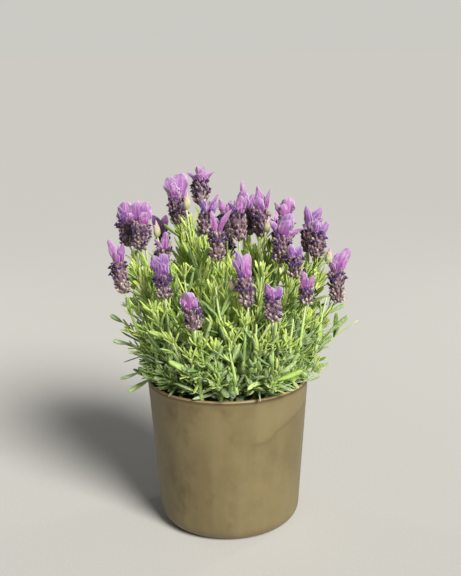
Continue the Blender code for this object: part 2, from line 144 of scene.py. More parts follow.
def turn_on_the_wheel(profile, sides, sway):
    """Points and faces of a profile turned round Z, whose first and last points lie on the axis."""
    points = [(0.0, 0.0, profile[0][1])]
    for radius, height in profile[1:-1]:
        for side in range(sides):
            turn = math.tau * side / sides
            reach = radius + sway(turn, height)
            points.append((reach * math.cos(turn), reach * math.sin(turn), height))
    points.append((0.0, 0.0, profile[-1][1]))
    rings = len(profile) - 2
    last = len(points) - 1
    faces = []
    for side in range(sides):
        after = (side + 1) % sides
        faces.append((0, 1 + after, 1 + side))
        for row in range(rings - 1):
            low = 1 + row * sides
            faces.append((low + side, low + after, low + sides + after, low + sides + side))
        top = 1 + (rings - 1) * sides
        faces.append((top + side, top + after, last))
    return points, faces


def throwing_sway(turn, height):
    """The hand-thrown wall wanders by a fraction of a millimetre and keeps faint finger rings."""
    wander = WALL_WANDER * math.sin(2 * turn + 0.6) * height / POT_HEIGHT
    rings = FINGER_RING_DEPTH * math.sin(height / FINGER_RING_PITCH + 1.5 * math.sin(turn))
    return wander + rings if height > FOOT_ROUNDING else 0.0


class Nodes:
    """One material with its shader, and short words for the nodes that feed it."""

    def __init__(self, name):
        self.material = bpy.data.materials.new(name)
        self.material.use_nodes = True
        self.tree = self.material.node_tree
        self.shader = self.tree.nodes["Principled BSDF"]

    def node(self, kind, **settings):
        made = self.tree.nodes.new(kind)
        for key, value in settings.items():
            if key in made.inputs:
                made.inputs[key].default_value = value
            else:
                setattr(made, key, value)
        return made

    def join(self, source, target):
        self.tree.links.new(source, target)

    def place(self):
        return self.node("ShaderNodeTexCoord").outputs["Object"]

    def stored(self, name):
        """A number that the mesh keeps at each of its points."""
        return self.node("ShaderNodeAttribute", attribute_name=name).outputs["Fac"]

    def stretched(self, source, x, y, z):
        mapping = self.node("ShaderNodeMapping")
        mapping.inputs["Scale"].default_value = (x, y, z)
        self.join(source, mapping.inputs["Vector"])
        return mapping.outputs["Vector"]

    def noise(self, source, scale, detail=3.0, roughness=0.55):
        made = self.node("ShaderNodeTexNoise", Scale=scale, Detail=detail, Roughness=roughness)
        self.join(source, made.inputs["Vector"])
        return made.outputs["Fac"]

    def ramp(self, source, *stops):
        made = self.node("ShaderNodeValToRGB")
        stop = made.color_ramp.elements
        while len(stop) < len(stops):
            stop.new(0.5)
        for i, (place, colour) in enumerate(stops):
            stop[i].position = place
            stop[i].color = (*colour, 1.0)
        self.join(source, made.inputs["Fac"])
        return made.outputs["Color"]

    def grey(self, source, start, end):
        """Black up to one value, white from the other."""
        return self.ramp(source, (start, BLACK), (end, WHITE))

    def fade(self, source, start, end):
        """White up to one value, black from the other."""
        return self.ramp(source, (start, WHITE), (end, BLACK))

    def mix(self, amount, first, second):
        made = self.node("ShaderNodeMix", data_type="RGBA")
        for socket, value in ((made.inputs[0], amount), (made.inputs[6], first), (made.inputs[7], second)):
            if isinstance(value, bpy.types.NodeSocket):
                self.join(value, socket)
            elif isinstance(value, tuple):
                socket.default_value = (*value, 1.0)
            else:
                socket.default_value = value
        return made.outputs[2]

    def sum(self, operation, first, second):
        made = self.node("ShaderNodeMath", operation=operation)
        for socket, value in zip(made.inputs, (first, second)):
            if isinstance(value, bpy.types.NodeSocket):
                self.join(value, socket)
            else:
                socket.default_value = value
        return made.outputs[0]

    def colour(self, source):
        self.join(source, self.shader.inputs["Base Color"])

    def rough(self, source, low, high):
        made = self.node("ShaderNodeMapRange")
        made.inputs["To Min"].default_value = low
        made.inputs["To Max"].default_value = high
        self.join(source, made.inputs["Value"])
        self.join(made.outputs["Result"], self.shader.inputs["Roughness"])

    def bump(self, source, strength, distance):
        made = self.node("ShaderNodeBump", Strength=strength, Distance=distance)
        self.join(source, made.inputs["Height"])
        self.join(made.outputs["Normal"], self.shader.inputs["Normal"])

    def steady(self, **values):
        """Numbers that are the same all over the surface, set on the shader's own sockets."""
        for key, value in values.items():
            self.shader.inputs[key.replace("_", " ")].default_value = value


def khaki_glaze():
    """Matt khaki: cloudy body, faint runs, brown clouds with painted shade on the left side, the edge of a
    second coat, pale over the rim with a painted highlight, brown under it.
    """
    glaze = Nodes("khaki_glaze")
    place = glaze.place()
    clouds = glaze.noise(place, 16, 4.0)
    streaks = glaze.noise(glaze.stretched(place, 55, 55, 9), 1.0, 3.0)
    specks = glaze.noise(place, 900, 2.0)
    body = glaze.ramp(clouds, (0.3, KHAKI_DEEP), (0.7, KHAKI))
    body = glaze.mix(glaze.grey(streaks, 0.45, 0.85), body, KHAKI_RUN)
    body = glaze.mix(glaze.grey(specks, 0.66, 0.74), body, IRON_SPECK)
    apart = glaze.node("ShaderNodeSeparateXYZ")
    glaze.join(place, apart.inputs["Vector"])
    x, y, height = (apart.outputs[axis] for axis in ("X", "Y", "Z"))
    turn = glaze.sum("ARCTAN2", x, glaze.sum("MULTIPLY", y, -1.0))
    # Brown clouds kept to the shaded left side: partly glaze clouding, partly painted shade that darkens
    # that side.
    cloud_and_shade_blotches = glaze.noise(glaze.stretched(place, 34, 34, 26), 1.0, 3.0, 0.6)
    shady_side = glaze.ramp(turn, (0.0, WHITE), (0.12, (0.25, 0.25, 0.25)))
    cloud_and_shade_blotches = glaze.sum("MULTIPLY", glaze.grey(cloud_and_shade_blotches, 0.52, 0.72), shady_side)
    body = glaze.mix(glaze.sum("MULTIPLY", cloud_and_shade_blotches, 0.55), body, BROWN_CLOUD_AND_SHADE)
    lap = glaze.node("ShaderNodeFloatCurve")
    curve = lap.mapping.curves[0]
    curve.points[0].location = (0.0, SECOND_COAT_AT_BACK[0])
    curve.points[1].location = (1.0, SECOND_COAT_AT_BACK[1])
    for across, up in SECOND_COAT_EDGE:
        curve.points.new(across, up)
    lap.mapping.update()
    glaze.join(glaze.sum("ADD", glaze.sum("MULTIPLY", turn, 1 / math.tau), 0.5), lap.inputs["Value"])
    lap = glaze.sum("MULTIPLY", lap.outputs["Value"], POT_HEIGHT)
    lap = glaze.sum("ADD", lap, glaze.sum("MULTIPLY", glaze.noise(place, 45, 2.0), SECOND_COAT_WANDER))
    edge = glaze.sum("SUBTRACT", height, lap)
    second_coat = glaze.grey(glaze.sum("ADD", glaze.sum("MULTIPLY", edge, 170), 0.2), 0.0, 1.0)
    facing = glaze.grey(turn, 0.22, 0.38)
    coat = glaze.sum("MULTIPLY", second_coat, facing)
    body = glaze.mix(glaze.sum("MULTIPLY", coat, 0.40), body, SECOND_COAT)
    line = glaze.sum("MULTIPLY", glaze.sum("ADD", edge, COAT_LINE_BELOW), 300)
    line = glaze.sum("ABSOLUTE", line, 0.0)
    line = glaze.ramp(line, (0.05, WHITE), (0.40, (0.5, 0.5, 0.5)), (0.95, BLACK))
    line = glaze.sum("MULTIPLY", line, facing)
    body = glaze.mix(glaze.sum("MULTIPLY", line, 0.50), body, COAT_LINE)
    under_rim = glaze.sum("SUBTRACT", POT_HEIGHT, height)
    wobble = glaze.sum("MULTIPLY", glaze.noise(place, 60, 3.0), RIM_WOBBLE)
    under_rim = glaze.sum("MULTIPLY", glaze.sum("ADD", under_rim, wobble), 100)
    # A pale band over the rim, partly thinner glaze and partly a painted highlight, then a brown band just
    # under it.
    break_line = glaze.ramp(
        under_rim,
        (0.08, RIM_TOP),
        (0.15, RIM_PALE_AND_HIGHLIGHT),
        (0.24, RIM_BREAK),
        (0.34, RIM_BREAK_SOFT),
        (0.60, UNDER_RIM),
    )
    body = glaze.mix(glaze.fade(under_rim, 0.45, 0.75), body, break_line)
    foot = glaze.fade(glaze.sum("MULTIPLY", height, 100), 0.12, 0.22)
    body = glaze.mix(foot, body, WIPED_CLAY)
    glaze.colour(body)
    glaze.rough(clouds, 0.46, 0.62)
    fine = glaze.sum("ADD", glaze.noise(place, 420, 3.0), glaze.sum("MULTIPLY", streaks, 1.2))
    fine = glaze.sum("ADD", fine, glaze.sum("MULTIPLY", coat, 0.8))
    glaze.bump(fine, 0.30, GLAZE_RELIEF)
    glaze.steady(Specular_IOR_Level=0.36, Coat_Weight=0.06, Coat_Roughness=0.38)
    return glaze.material


pot_points, pot_faces = turn_on_the_wheel(pot_profile(), POT_SIDES, throwing_sway)
pot = mesh_object("glazed_pot", pot_points, pot_faces, [khaki_glaze()])
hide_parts("pot")

# ---------------------------------------------------------------------------------------------
# Potting mix: peat and composted bark, settled a finger's breadth under the rim.
# It is one crumbly mass; its surface is uneven by up to two millimetres and has loose bark
# chips and white perlite lying in it.
mix_low, mix_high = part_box("potting_mix")
MIX_RADIUS = (mix_high.x - mix_low.x) / 2
MIX_SIDES = 120
MIX_RINGS = 44
MIX_EDGE_ROUNDING = 10 * MM
MIX_CLEAR_OF_POT = 0.4 * MM
MIX_UNEVENNESS = 2.0 * MM
MIX_BELOW_TOP = 2.2 * MM
LOOSE_BITS = 420
BARK_SHARE = 0.72
BARK_LENGTHS = (2.5, 8.0)
BARK_WIDTHS = (0.35, 0.6)
PERLITE_LENGTHS = (1.5, 3.2)
PERLITE_WIDTH = 0.9
PEAT_BLACK = (0.012, 0.008, 0.005)
PEAT_BROWN = (0.045, 0.028, 0.016)
PEAT_FIBRE = (0.11, 0.07, 0.04)
PEAT_DAMP = (0.03, 0.018, 0.01)
BARK_DARK = (0.035, 0.018, 0.009)
BARK_RED = (0.14, 0.075, 0.036)
BARK_DRY = (0.26, 0.16, 0.085)
PERLITE_GREY = (0.52, 0.49, 0.43)
PERLITE_WHITE = (0.84, 0.82, 0.77)
crumbs = random.Random(5)
bumps = []
for bump in range(26):
    bump_x = crumbs.uniform(-0.07, 0.07)
    bump_y = crumbs.uniform(-0.07, 0.07)
    bump_height = crumbs.uniform(0.3, 1.0) * MM
    bumps.append((bump_x, bump_y, bump_height, crumbs.uniform(90, 420)))


def mix_height(x, y):
    """The level of the settled mix, uneven by up to two millimetres."""
    rough = sum(tall * math.sin(often * (x - across)) * math.sin(often * (y - along))
                for across, along, tall, often in bumps)
    return mix_high.z - MIX_BELOW_TOP + max(-MIX_UNEVENNESS, min(MIX_UNEVENNESS, rough * 0.55))


class Heap:
    """Gathers closed lofted shapes, each with numbers for its material, until they become one mesh."""

    def __init__(self, *kept):
        self.points = []
        self.faces = []
        self.slots = []
        self.numbers = {name: [] for name in kept}
        self.count = 0

    def loft(self, rings, slot=0, **values):
        """A closed skin over rings, an array of stations x sides x 3, with flat ends."""
        stations, sides = rings.shape[:2]
        low = self.count + (np.arange(stations - 1) * sides)[:, None]
        side = np.arange(sides)[None, :]
        after = (side + 1) % sides
        walls = np.stack([low + side, low + after, low + sides + after, low + sides + side], axis=-1)
        self.faces += walls.reshape(-1, 4).tolist()
        self.faces.append(list(range(self.count + sides - 1, self.count - 1, -1)))
        last = self.count + (stations - 1) * sides
        self.faces.append(list(range(last, last + sides)))
        self.slots += [slot] * ((stations - 1) * sides + 2)
        self.points.append(rings.reshape(-1, 3))
        for name, column in self.numbers.items():
            column.append(np.broadcast_to(values.get(name, 0.0), (stations, sides)).reshape(-1))
        self.count += stations * sides

    def piece(self, name, look):
        made = mesh_object(name, np.concatenate(self.points), self.faces, look)
        made.data.polygons.foreach_set("material_index", self.slots)
        for key, column in self.numbers.items():
            layer = made.data.attributes.new(key, "FLOAT", "POINT")
            layer.data.foreach_set("value", np.concatenate(column).astype(np.float32))
        return made


def unit(v):
    return v / np.linalg.norm(v)


def lump(middle, along, across, length, width, dice):
    """A knobbly closed pebble, for a chip of bark or a grain of perlite."""
    along = unit(along)
    side = unit(np.cross(along, across))
    up = np.cross(side, along)
    rings = []
    for station, swell in ((-0.5, 0.35), (-0.3, 0.85), (0.0, 1.0), (0.3, 0.8), (0.5, 0.3)):
        ring = []
        for turn in np.linspace(0, math.tau, 7)[:-1]:
            reach = width * swell * dice.uniform(0.35, 0.55)
            outward = side * math.cos(turn) + 0.6 * up * math.sin(turn)
            ring.append(middle + along * length * station + reach * outward)
        rings.append(ring)
    return np.array(rings)


def potting_mix_looks():
    """Peat brown with grain, plus the bark chips and the perlite that lie in it."""
    peat = Nodes("peat")
    place = peat.place()
    grain = peat.noise(place, 620, 5.0, 0.7)
    patches = peat.noise(place, 90, 3.0)
    body = peat.ramp(grain, (0.3, PEAT_BLACK), (0.55, PEAT_BROWN), (0.8, PEAT_FIBRE))
    peat.colour(peat.mix(peat.grey(patches, 0.4, 0.7), body, PEAT_DAMP))
    peat.rough(grain, 0.8, 1.0)
    peat.bump(grain, 0.9, 0.0009)
    bark = Nodes("bark_chip")
    fibre = bark.noise(bark.stretched(bark.place(), 700, 700, 160), 1.0, 4.0)
    tone = bark.stored("tone")
    dark = bark.ramp(fibre, (0.35, BARK_DARK), (0.7, BARK_RED))
    bark.colour(bark.mix(tone, dark, BARK_DRY))
    bark.rough(fibre, 0.7, 0.95)
    bark.bump(fibre, 0.7, 0.0005)
    perlite = Nodes("perlite")
    foam = perlite.noise(perlite.place(), 1500, 3.0)
    perlite.colour(perlite.ramp(foam, (0.3, PERLITE_GREY), (0.6, PERLITE_WHITE)))
    perlite.rough(foam, 0.75, 0.95)
    perlite.bump(foam, 0.6, 0.0003)
    return [peat.material, bark.material, perlite.material]


def make_potting_mix():
    """The settled mass, from the pot's floor to its uneven top, with the loose bits lying in it."""
    heap = Heap("tone")
    radii = np.linspace(1.0, 0.02, MIX_RINGS)
    turns = np.linspace(0, math.tau, MIX_SIDES + 1)[:-1]
    rings = []
    for height in np.linspace(mix_low.z, mix_high.z - 6 * MM, 9):
        rounding = max(0.0, MIX_EDGE_ROUNDING - (height - mix_low.z))
        reach = min(MIX_RADIUS, pot_outside(height) - POT_WALL - MIX_CLEAR_OF_POT) - rounding * 0.4
        rings.append([(reach * math.cos(turn), reach * math.sin(turn), height) for turn in turns])
    for reach in radii * MIX_RADIUS:
        flat = [(reach * math.cos(turn), reach * math.sin(turn)) for turn in turns]
        rings.append([(x, y, mix_height(x, y)) for x, y in flat])
    heap.loft(np.array(rings))
    dice = random.Random(8)
    for bit in range(LOOSE_BITS):
        reach = MIX_RADIUS * 0.95 * math.sqrt(dice.random())
        turn = dice.uniform(0, math.tau)
        x = reach * math.cos(turn)
        y = reach * math.sin(turn)
        long_way = np.array([dice.gauss(0, 1), dice.gauss(0, 1), dice.gauss(0, 0.25)])
        flat_way = np.array([dice.gauss(0, 0.2), dice.gauss(0, 0.2), 1.0])
        is_bark = dice.random() < BARK_SHARE
        length = dice.uniform(*(BARK_LENGTHS if is_bark else PERLITE_LENGTHS)) * MM
        width = length * (dice.uniform(*BARK_WIDTHS) if is_bark else PERLITE_WIDTH)
        middle = np.array([x, y, mix_height(x, y) + width * 0.10])
        chip = lump(middle, long_way, flat_way, length, width, dice)
        heap.loft(chip, 1 if is_bark else 2, tone=dice.random())
    piece = heap.piece("potting_mix_surface", potting_mix_looks())
    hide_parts("potting_mix")


make_potting_mix()

# ---------------------------------------------------------------------------------------------
# Woody crown: the old grey-brown wood at the foot of the shrub. It grew as one knuckle, and
# every branch springs from it; short gnarled spurs run out over the mix, barked in long strips.
crown_low, crown_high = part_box("woody_crown")
CROWN_RADIUS = (crown_high.x - crown_low.x) / 2
SPURS = 11
SPUR_REACH = 24 * MM
SPUR_ARCH = 4.5 * MM
WOOD_DARK = (0.05, 0.034, 0.022)
WOOD_BROWN = (0.16, 0.115, 0.075)
WOOD_GREY = (0.34, 0.28, 0.20)
WOOD_MOSSY = (0.10, 0.09, 0.055)


def tube(path, half_widths, sides=8, squareness=0.0):
    """Rings round a path; squareness turns the section from round towards square, as lavender stems are."""
    path = np.asarray(path, dtype=float)
    ahead = np.gradient(path, axis=0)
    ahead /= np.linalg.norm(ahead, axis=1)[:, None]
    side = np.array([1.0, 0.0, 0.0])
    rings = []
    corners = np.linspace(0, math.tau, sides + 1)[:-1]
    round_out = 1 + squareness * (np.abs(np.cos(2 * corners)) - 0.5)
    for place, way, half in zip(path, ahead, half_widths):
        side = unit(side - way * side.dot(way))
        up = np.cross(way, side)
        spread = half * round_out[:, None]
        rings.append(place + spread * (np.cos(corners)[:, None] * side + np.sin(corners)[:, None] * up))
    return np.array(rings)


def old_wood():
    """Flaking grey-brown bark, lighter on the ridges."""
    wood = Nodes("old_wood")
    place = wood.place()
    strips = wood.noise(wood.stretched(place, 500, 500, 120), 1.0, 5.0, 0.65)
    body = wood.ramp(strips, (0.3, WOOD_DARK), (0.5, WOOD_BROWN), (0.75, WOOD_GREY))
    wood.colour(wood.mix(wood.grey(wood.noise(place, 140, 2.0), 0.5, 0.7), body, WOOD_MOSSY))
    wood.rough(strips, 0.7, 0.95)
    wood.bump(strips, 0.9, 0.0007)
    return wood.material


def make_crown():
    """The knuckle of old wood and the spurs that run out from it."""
    heap = Heap()
    dice = random.Random(21)
    rings = []
    for height, share in ((0.0, 0.93), (0.25, 1.0), (0.55, 0.96), (0.8, 0.80), (0.95, 0.55), (1.0, 0.25)):
        ring = []
        for turn in np.linspace(0, math.tau, 49)[:-1]:
            knuckle = 1 + 0.07 * math.sin(3 * turn + 1) + 0.05 * math.sin(7 * turn + 4 * height) - 0.11
            reach = CROWN_RADIUS * share * knuckle
            rise = crown_low.z + (crown_high.z - crown_low.z) * height
            ring.append((reach * math.cos(turn), reach * math.sin(turn), rise))
        rings.append(ring)
    heap.loft(np.array(rings))
    for spur in range(SPURS):
        turn = math.tau * (spur + dice.uniform(-0.3, 0.3)) / SPURS
        way = np.array([math.cos(turn), math.sin(turn), 0.0])
        start = way * CROWN_RADIUS * 0.55 + np.array([0, 0, crown_low.z + 3 * MM])
        path = []
        for t in np.linspace(0, 1, 8):
            bend = np.array([-way[1], way[0], 0.0]) * dice.uniform(-1, 1) * MM
            arch = np.array([0, 0, SPUR_ARCH * math.sin(math.pi * t * 0.8)])
            path.append(start + way * SPUR_REACH * t + bend + arch)
        heap.loft(tube(path, [(3.0 - 1.5 * t) * MM for t in np.linspace(0, 1, 8)], sides=10))
    piece = heap.piece("woody_crown_bark", [old_wood()])
    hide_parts("woody_crown")


make_crown()

# ---------------------------------------------------------------------------------------------
# Flowering branches: each springs from the crown and forks into square green stems, woody at
# the foot, that end in a bare pale stalk under every flower head. They grew, with their leaves
# in opposite pairs, each pair turned a quarter from the last and with small leaves in its axils.
STEM_FOOT = 139.8 * MM
PLANT_TOP = 350 * MM
ROOT_REACH = 27 * MM
WIDEST_REACH = 290 * MM
BARE_STALK = 26 * MM
FLOWER_STEM = 1.15 * MM
SHOOT_STEM = 0.85 * MM
RIM_CLEAR_INSIDE = 1.6 * MM
RIM_CLEAR_OUTSIDE = 2.0 * MM
LEAF_LENGTHS = (19, 29)
NARROW_WIDTHS = (3.2, 4.9)
BROAD_WIDTHS = (5.2, 7.0)
PAIR_GAPS = (10.0, 14.5)
MISSING_LEAVES = 0.06
# Leaf colours run from dark to pale: the dark end is painted shade, the pale end partly painted light on
# the upper leaves.
LEAF_SHADED = (0.018, 0.050, 0.005)
LEAF_GREEN = (0.082, 0.190, 0.014)
LEAF_YELLOW_GREEN = (0.345, 0.535, 0.042)
LEAF_PALE_AND_HIGHLIT = (0.740, 0.880, 0.230)
FELT_DARK = (0.200, 0.315, 0.150)
FELT_GREY = (0.360, 0.480, 0.275)
FELT_WHITE = (0.560, 0.660, 0.470)
LEAF_UNDERSIDE = (0.38, 0.50, 0.22)
LEAF_RIB = (0.55, 0.66, 0.28)
LEAF_TIP = (0.42, 0.46, 0.15)
STEM_WOOD = (0.17, 0.12, 0.065)
STEM_TURNING = (0.27, 0.24, 0.09)
STEM_GREEN = (0.36, 0.49, 0.13)
STEM_YOUNG = (0.46, 0.66, 0.20)
STEM_TOP = (0.62, 0.73, 0.33)
STEM_DOWN = (0.68, 0.74, 0.42)
BRANCHES = {
    "branch_01": ("flower_head_03", "flower_head_01", "flower_head_02"),
    "branch_02": ("flower_head_05", "flower_head_23"),
    "branch_03": ("flower_head_06", "flower_head_04", "flower_bud_01"),
    "branch_04": ("flower_head_24", "flower_head_07", "flower_bud_05"),
    "branch_05": ("flower_head_09", "flower_head_08"),
    "branch_06": ("flower_head_10", "flower_head_11", "flower_head_12"),
    "branch_07": ("flower_bud_02", "flower_head_13", "flower_head_14"),
    "branch_08": ("flower_head_15", "flower_head_17"),
    "branch_09": ("flower_head_25", "flower_head_26"),
    "branch_10": ("flower_head_18", "flower_bud_03", "flower_head_19"),
    "branch_11": ("flower_head_20", "flower_bud_04", "flower_head_21"),
    "branch_12": ("flower_head_16", "flower_head_22"),
}
UP = np.array([0.0, 0.0, 1.0])


def node_points(name):
    return np.array([corner.co[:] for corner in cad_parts[name].data.vertices])


def foot_of(name):
    """The middle of the lowest ring of a flower head's or bud's solid."""
    points = node_points(name)
    return points[points[:, 2] < points[:, 2].min() + 1.2 * MM].mean(axis=0)


def lean_of(name):
    points = node_points(name)
    return unit(points.mean(axis=0) - foot_of(name))


def spread_at(height):
    return max(0.0, (height - STEM_FOOT) / (PLANT_TOP - STEM_FOOT)) ** 0.8


def stem_path(tip, steps=22, root=None):
    """The sweep of one stem: crowded at the crown, then fanning out to its tip."""
    tip = np.asarray(tip, dtype=float)
    reach = max(math.hypot(tip[0], tip[1]), 1 * MM)
    full = spread_at(tip[2])
    if root is None:
        root = min(reach, ROOT_REACH * (reach / full / WIDEST_REACH) ** 0.6)
    path = []
    for height in np.linspace(STEM_FOOT, tip[2], steps):
        scale = root / reach + (1 - root / reach) * spread_at(height) / full
        path.append((tip[0] * scale, tip[1] * scale, height))
    path = np.array(path)
    path[0, 2] -= 3 * MM
    return path


def hits_the_pot(path):
    """Whether a leaf would pass through the rim, or hang down against the outside of the wall."""
    path = np.concatenate([path, (path[:-1] + path[1:]) / 2])
    reach = np.hypot(path[:, 0], path[:, 1])
    through = (reach > RIM_RADIUS - POT_WALL - RIM_CLEAR_INSIDE) & (reach < RIM_RADIUS + RIM_CLEAR_OUTSIDE)
    through &= path[:, 2] < POT_HEIGHT + 1.5 * MM
    hanging = (reach > RIM_RADIUS + 2.5 * MM) & (path[:, 2] < POT_HEIGHT - 2 * MM)
    return bool(through.any() or hanging.any())


# The bush's outline: heights over the table, and how far the leaves reach there from the middle, in mm.
REACH_AT = ((140, 88), (152, 97), (170, 105), (200, 112), (230, 113), (262, 108), (300, 82), (350, 60))


def beyond_the_bush(point):
    """Whether a leaf tip would stand out of the round outline that the shrub keeps by itself."""
    heights, reaches = zip(*REACH_AT)
    limit = np.interp(point[2] / MM, heights, reaches) * MM
    return math.hypot(point[0], point[1]) > limit


# Along the blade, from its base to its tip: the stations and the shares of the full width there.
LEAF_STATIONS = np.array([0.0, 0.10, 0.26, 0.44, 0.62, 0.79, 0.92, 1.0])
NARROW_LEAF = np.array([0.30, 0.46, 0.74, 0.93, 1.0, 0.94, 0.70, 0.22])
BROAD_LEAF = np.array([0.22, 0.36, 0.76, 1.0, 1.0, 0.86, 0.58, 0.18])
# Across the blade: edge, flank, midrib groove, flank, edge, and the keel underneath.
ACROSS = np.array([-1.0, -0.52, 0.0, 0.52, 1.0, 0.0])
RISE = np.array([-0.20, 0.12, -0.02, 0.12, -0.20, -0.34])
UNDERSIDE = np.array([0.45, 0.0, 0.1, 0.0, 0.45, 1.0])


def midrib(base, way, length, bend):
    path = [np.array(base)]
    for i in range(1, len(LEAF_STATIONS)):
        here = unit(way + bend * LEAF_STATIONS[i])
        path.append(path[-1] + here * length * (LEAF_STATIONS[i] - LEAF_STATIONS[i - 1]))
    return np.array(path)


def grow_leaf(heap, base, way, length, width, bend, tone, silver,
              outline=NARROW_LEAF, fold=0.0, roll=0.0, free=False):
    """One leaf blade: a thin arched strip with rolled edges, a grooved midrib above and a keel below."""
    way = unit(way)
    path = midrib(base, way, length, bend)
    if not free and (beyond_the_bush(path[-1]) or hits_the_pot(path)):
        path = midrib(base, unit(way + UP * 0.9), length * 0.8, bend + UP * 0.4)
        if beyond_the_bush(path[-1]) or hits_the_pot(path):
            return
    ahead = np.gradient(path, axis=0)
    ahead /= np.linalg.norm(ahead, axis=1)[:, None]
    hint = UP if abs(way[2]) < 0.93 else unit(np.array([base[0], base[1], 0.0]) * -1 + 1e-6)
    side = np.cross(ahead, hint)
    side /= np.linalg.norm(side, axis=1)[:, None]
    above = np.cross(side, ahead)
    turned = roll + 0.5 * roll * LEAF_STATIONS
    lie = side * np.cos(turned)[:, None] + above * np.sin(turned)[:, None]
    face = above * np.cos(turned)[:, None] - side * np.sin(turned)[:, None]
    half = outline * width / 2
    high = RISE + fold * np.abs(ACROSS) - 0.12 * (ACROSS == 0)
    rings = (path[:, None, :]
             + (half[:, None] * ACROSS[None, :])[..., None] * lie[:, None, :]
             + (half[:, None] * high[None, :])[..., None] * face[:, None, :])
    heap.loft(rings[:, ::-1], 0, tone=tone, silver=silver, along=LEAF_STATIONS[:, None],
              across=np.abs(ACROSS)[None, ::-1], under=UNDERSIDE[None, ::-1])


def leaf_blade():
    """Lavender leaf: yellow-green and bright on the young upper leaves, darker on old and low ones, partly
    leaf age and partly painted light and shade; felted grey on the low old ones.
    """
    leaf = Nodes("leaf_blade")
    place = leaf.place()
    tone = leaf.stored("tone")
    mottle = leaf.noise(place, 420, 3.0)
    shade = leaf.sum("ADD", tone, leaf.sum("MULTIPLY", leaf.sum("SUBTRACT", mottle, 0.5), 0.35))
    body = leaf.ramp(
        shade,
        (0.0, LEAF_SHADED),
        (0.28, LEAF_GREEN),
        (0.58, LEAF_YELLOW_GREEN),
        (1.0, LEAF_PALE_AND_HIGHLIT),
    )
    felt = leaf.ramp(mottle, (0.3, FELT_DARK), (0.5, FELT_GREY), (0.7, FELT_WHITE))
    body = leaf.mix(leaf.stored("silver"), body, felt)
    body = leaf.mix(leaf.sum("MULTIPLY", leaf.stored("under"), 0.40), body, LEAF_UNDERSIDE)
    rib = leaf.fade(leaf.stored("across"), 0.0, 0.3)
    body = leaf.mix(leaf.sum("MULTIPLY", rib, 0.28), body, LEAF_RIB)
    body = leaf.mix(leaf.grey(leaf.stored("along"), 0.93, 1.0), body, LEAF_TIP)
    leaf.colour(body)
    leaf.rough(mottle, 0.32, 0.50)
    hairs = leaf.noise(place, 2600, 2.0)
    leaf.bump(leaf.sum("ADD", hairs, mottle), 0.35, 0.0002)
    leaf.steady(Specular_IOR_Level=0.5, Sheen_Weight=0.10, Sheen_Roughness=0.45,
                Subsurface_Weight=0.30, Subsurface_Scale=0.0015)
    leaf.shader.inputs["Subsurface Radius"].default_value = (0.6, 1.0, 0.25)
    return leaf.material


def stem_skin():
    """Square green stem: woody brown at the foot, yellow-green above, pale and downy under the flowers."""
    stem = Nodes("stem_skin")
    place = stem.place()
    fibre = stem.noise(stem.stretched(place, 900, 900, 130), 1.0, 3.0)
    streak = stem.sum("MULTIPLY", stem.sum("SUBTRACT", fibre, 0.5), 0.12)
    age = stem.sum("ADD", stem.stored("along"), streak)
    body = stem.ramp(
        age,
        (0.0, STEM_WOOD),
        (0.12, STEM_TURNING),
        (0.28, STEM_GREEN),
        (0.70, STEM_YOUNG),
        (1.0, STEM_TOP),
    )
    stem.colour(stem.mix(stem.grey(fibre, 0.55, 0.8), body, STEM_DOWN))
    stem.rough(fibre, 0.45, 0.65)
    stem.bump(fibre, 0.45, 0.0003)
    stem.steady(Sheen_Weight=0.3, Sheen_Roughness=0.4, Subsurface_Weight=0.15, Subsurface_Scale=0.001)
    return stem.material


LEAF_LOOKS = [leaf_blade(), stem_skin()]


def around(axis, angle):
    """A unit way square to an axis, turned by an angle."""
    first = unit(np.cross(axis, [0.3, -0.95, 0.1]))
    second = np.cross(axis, first)
    return first * math.cos(angle) + second * math.sin(angle)


def point_along(path, run, distance):
    """The point of a path that lies a distance from its foot."""
    return np.array([np.interp(distance, run, path[:, axis]) for axis in range(3)])


def limited(value):
    return min(1.0, max(0.0, value))


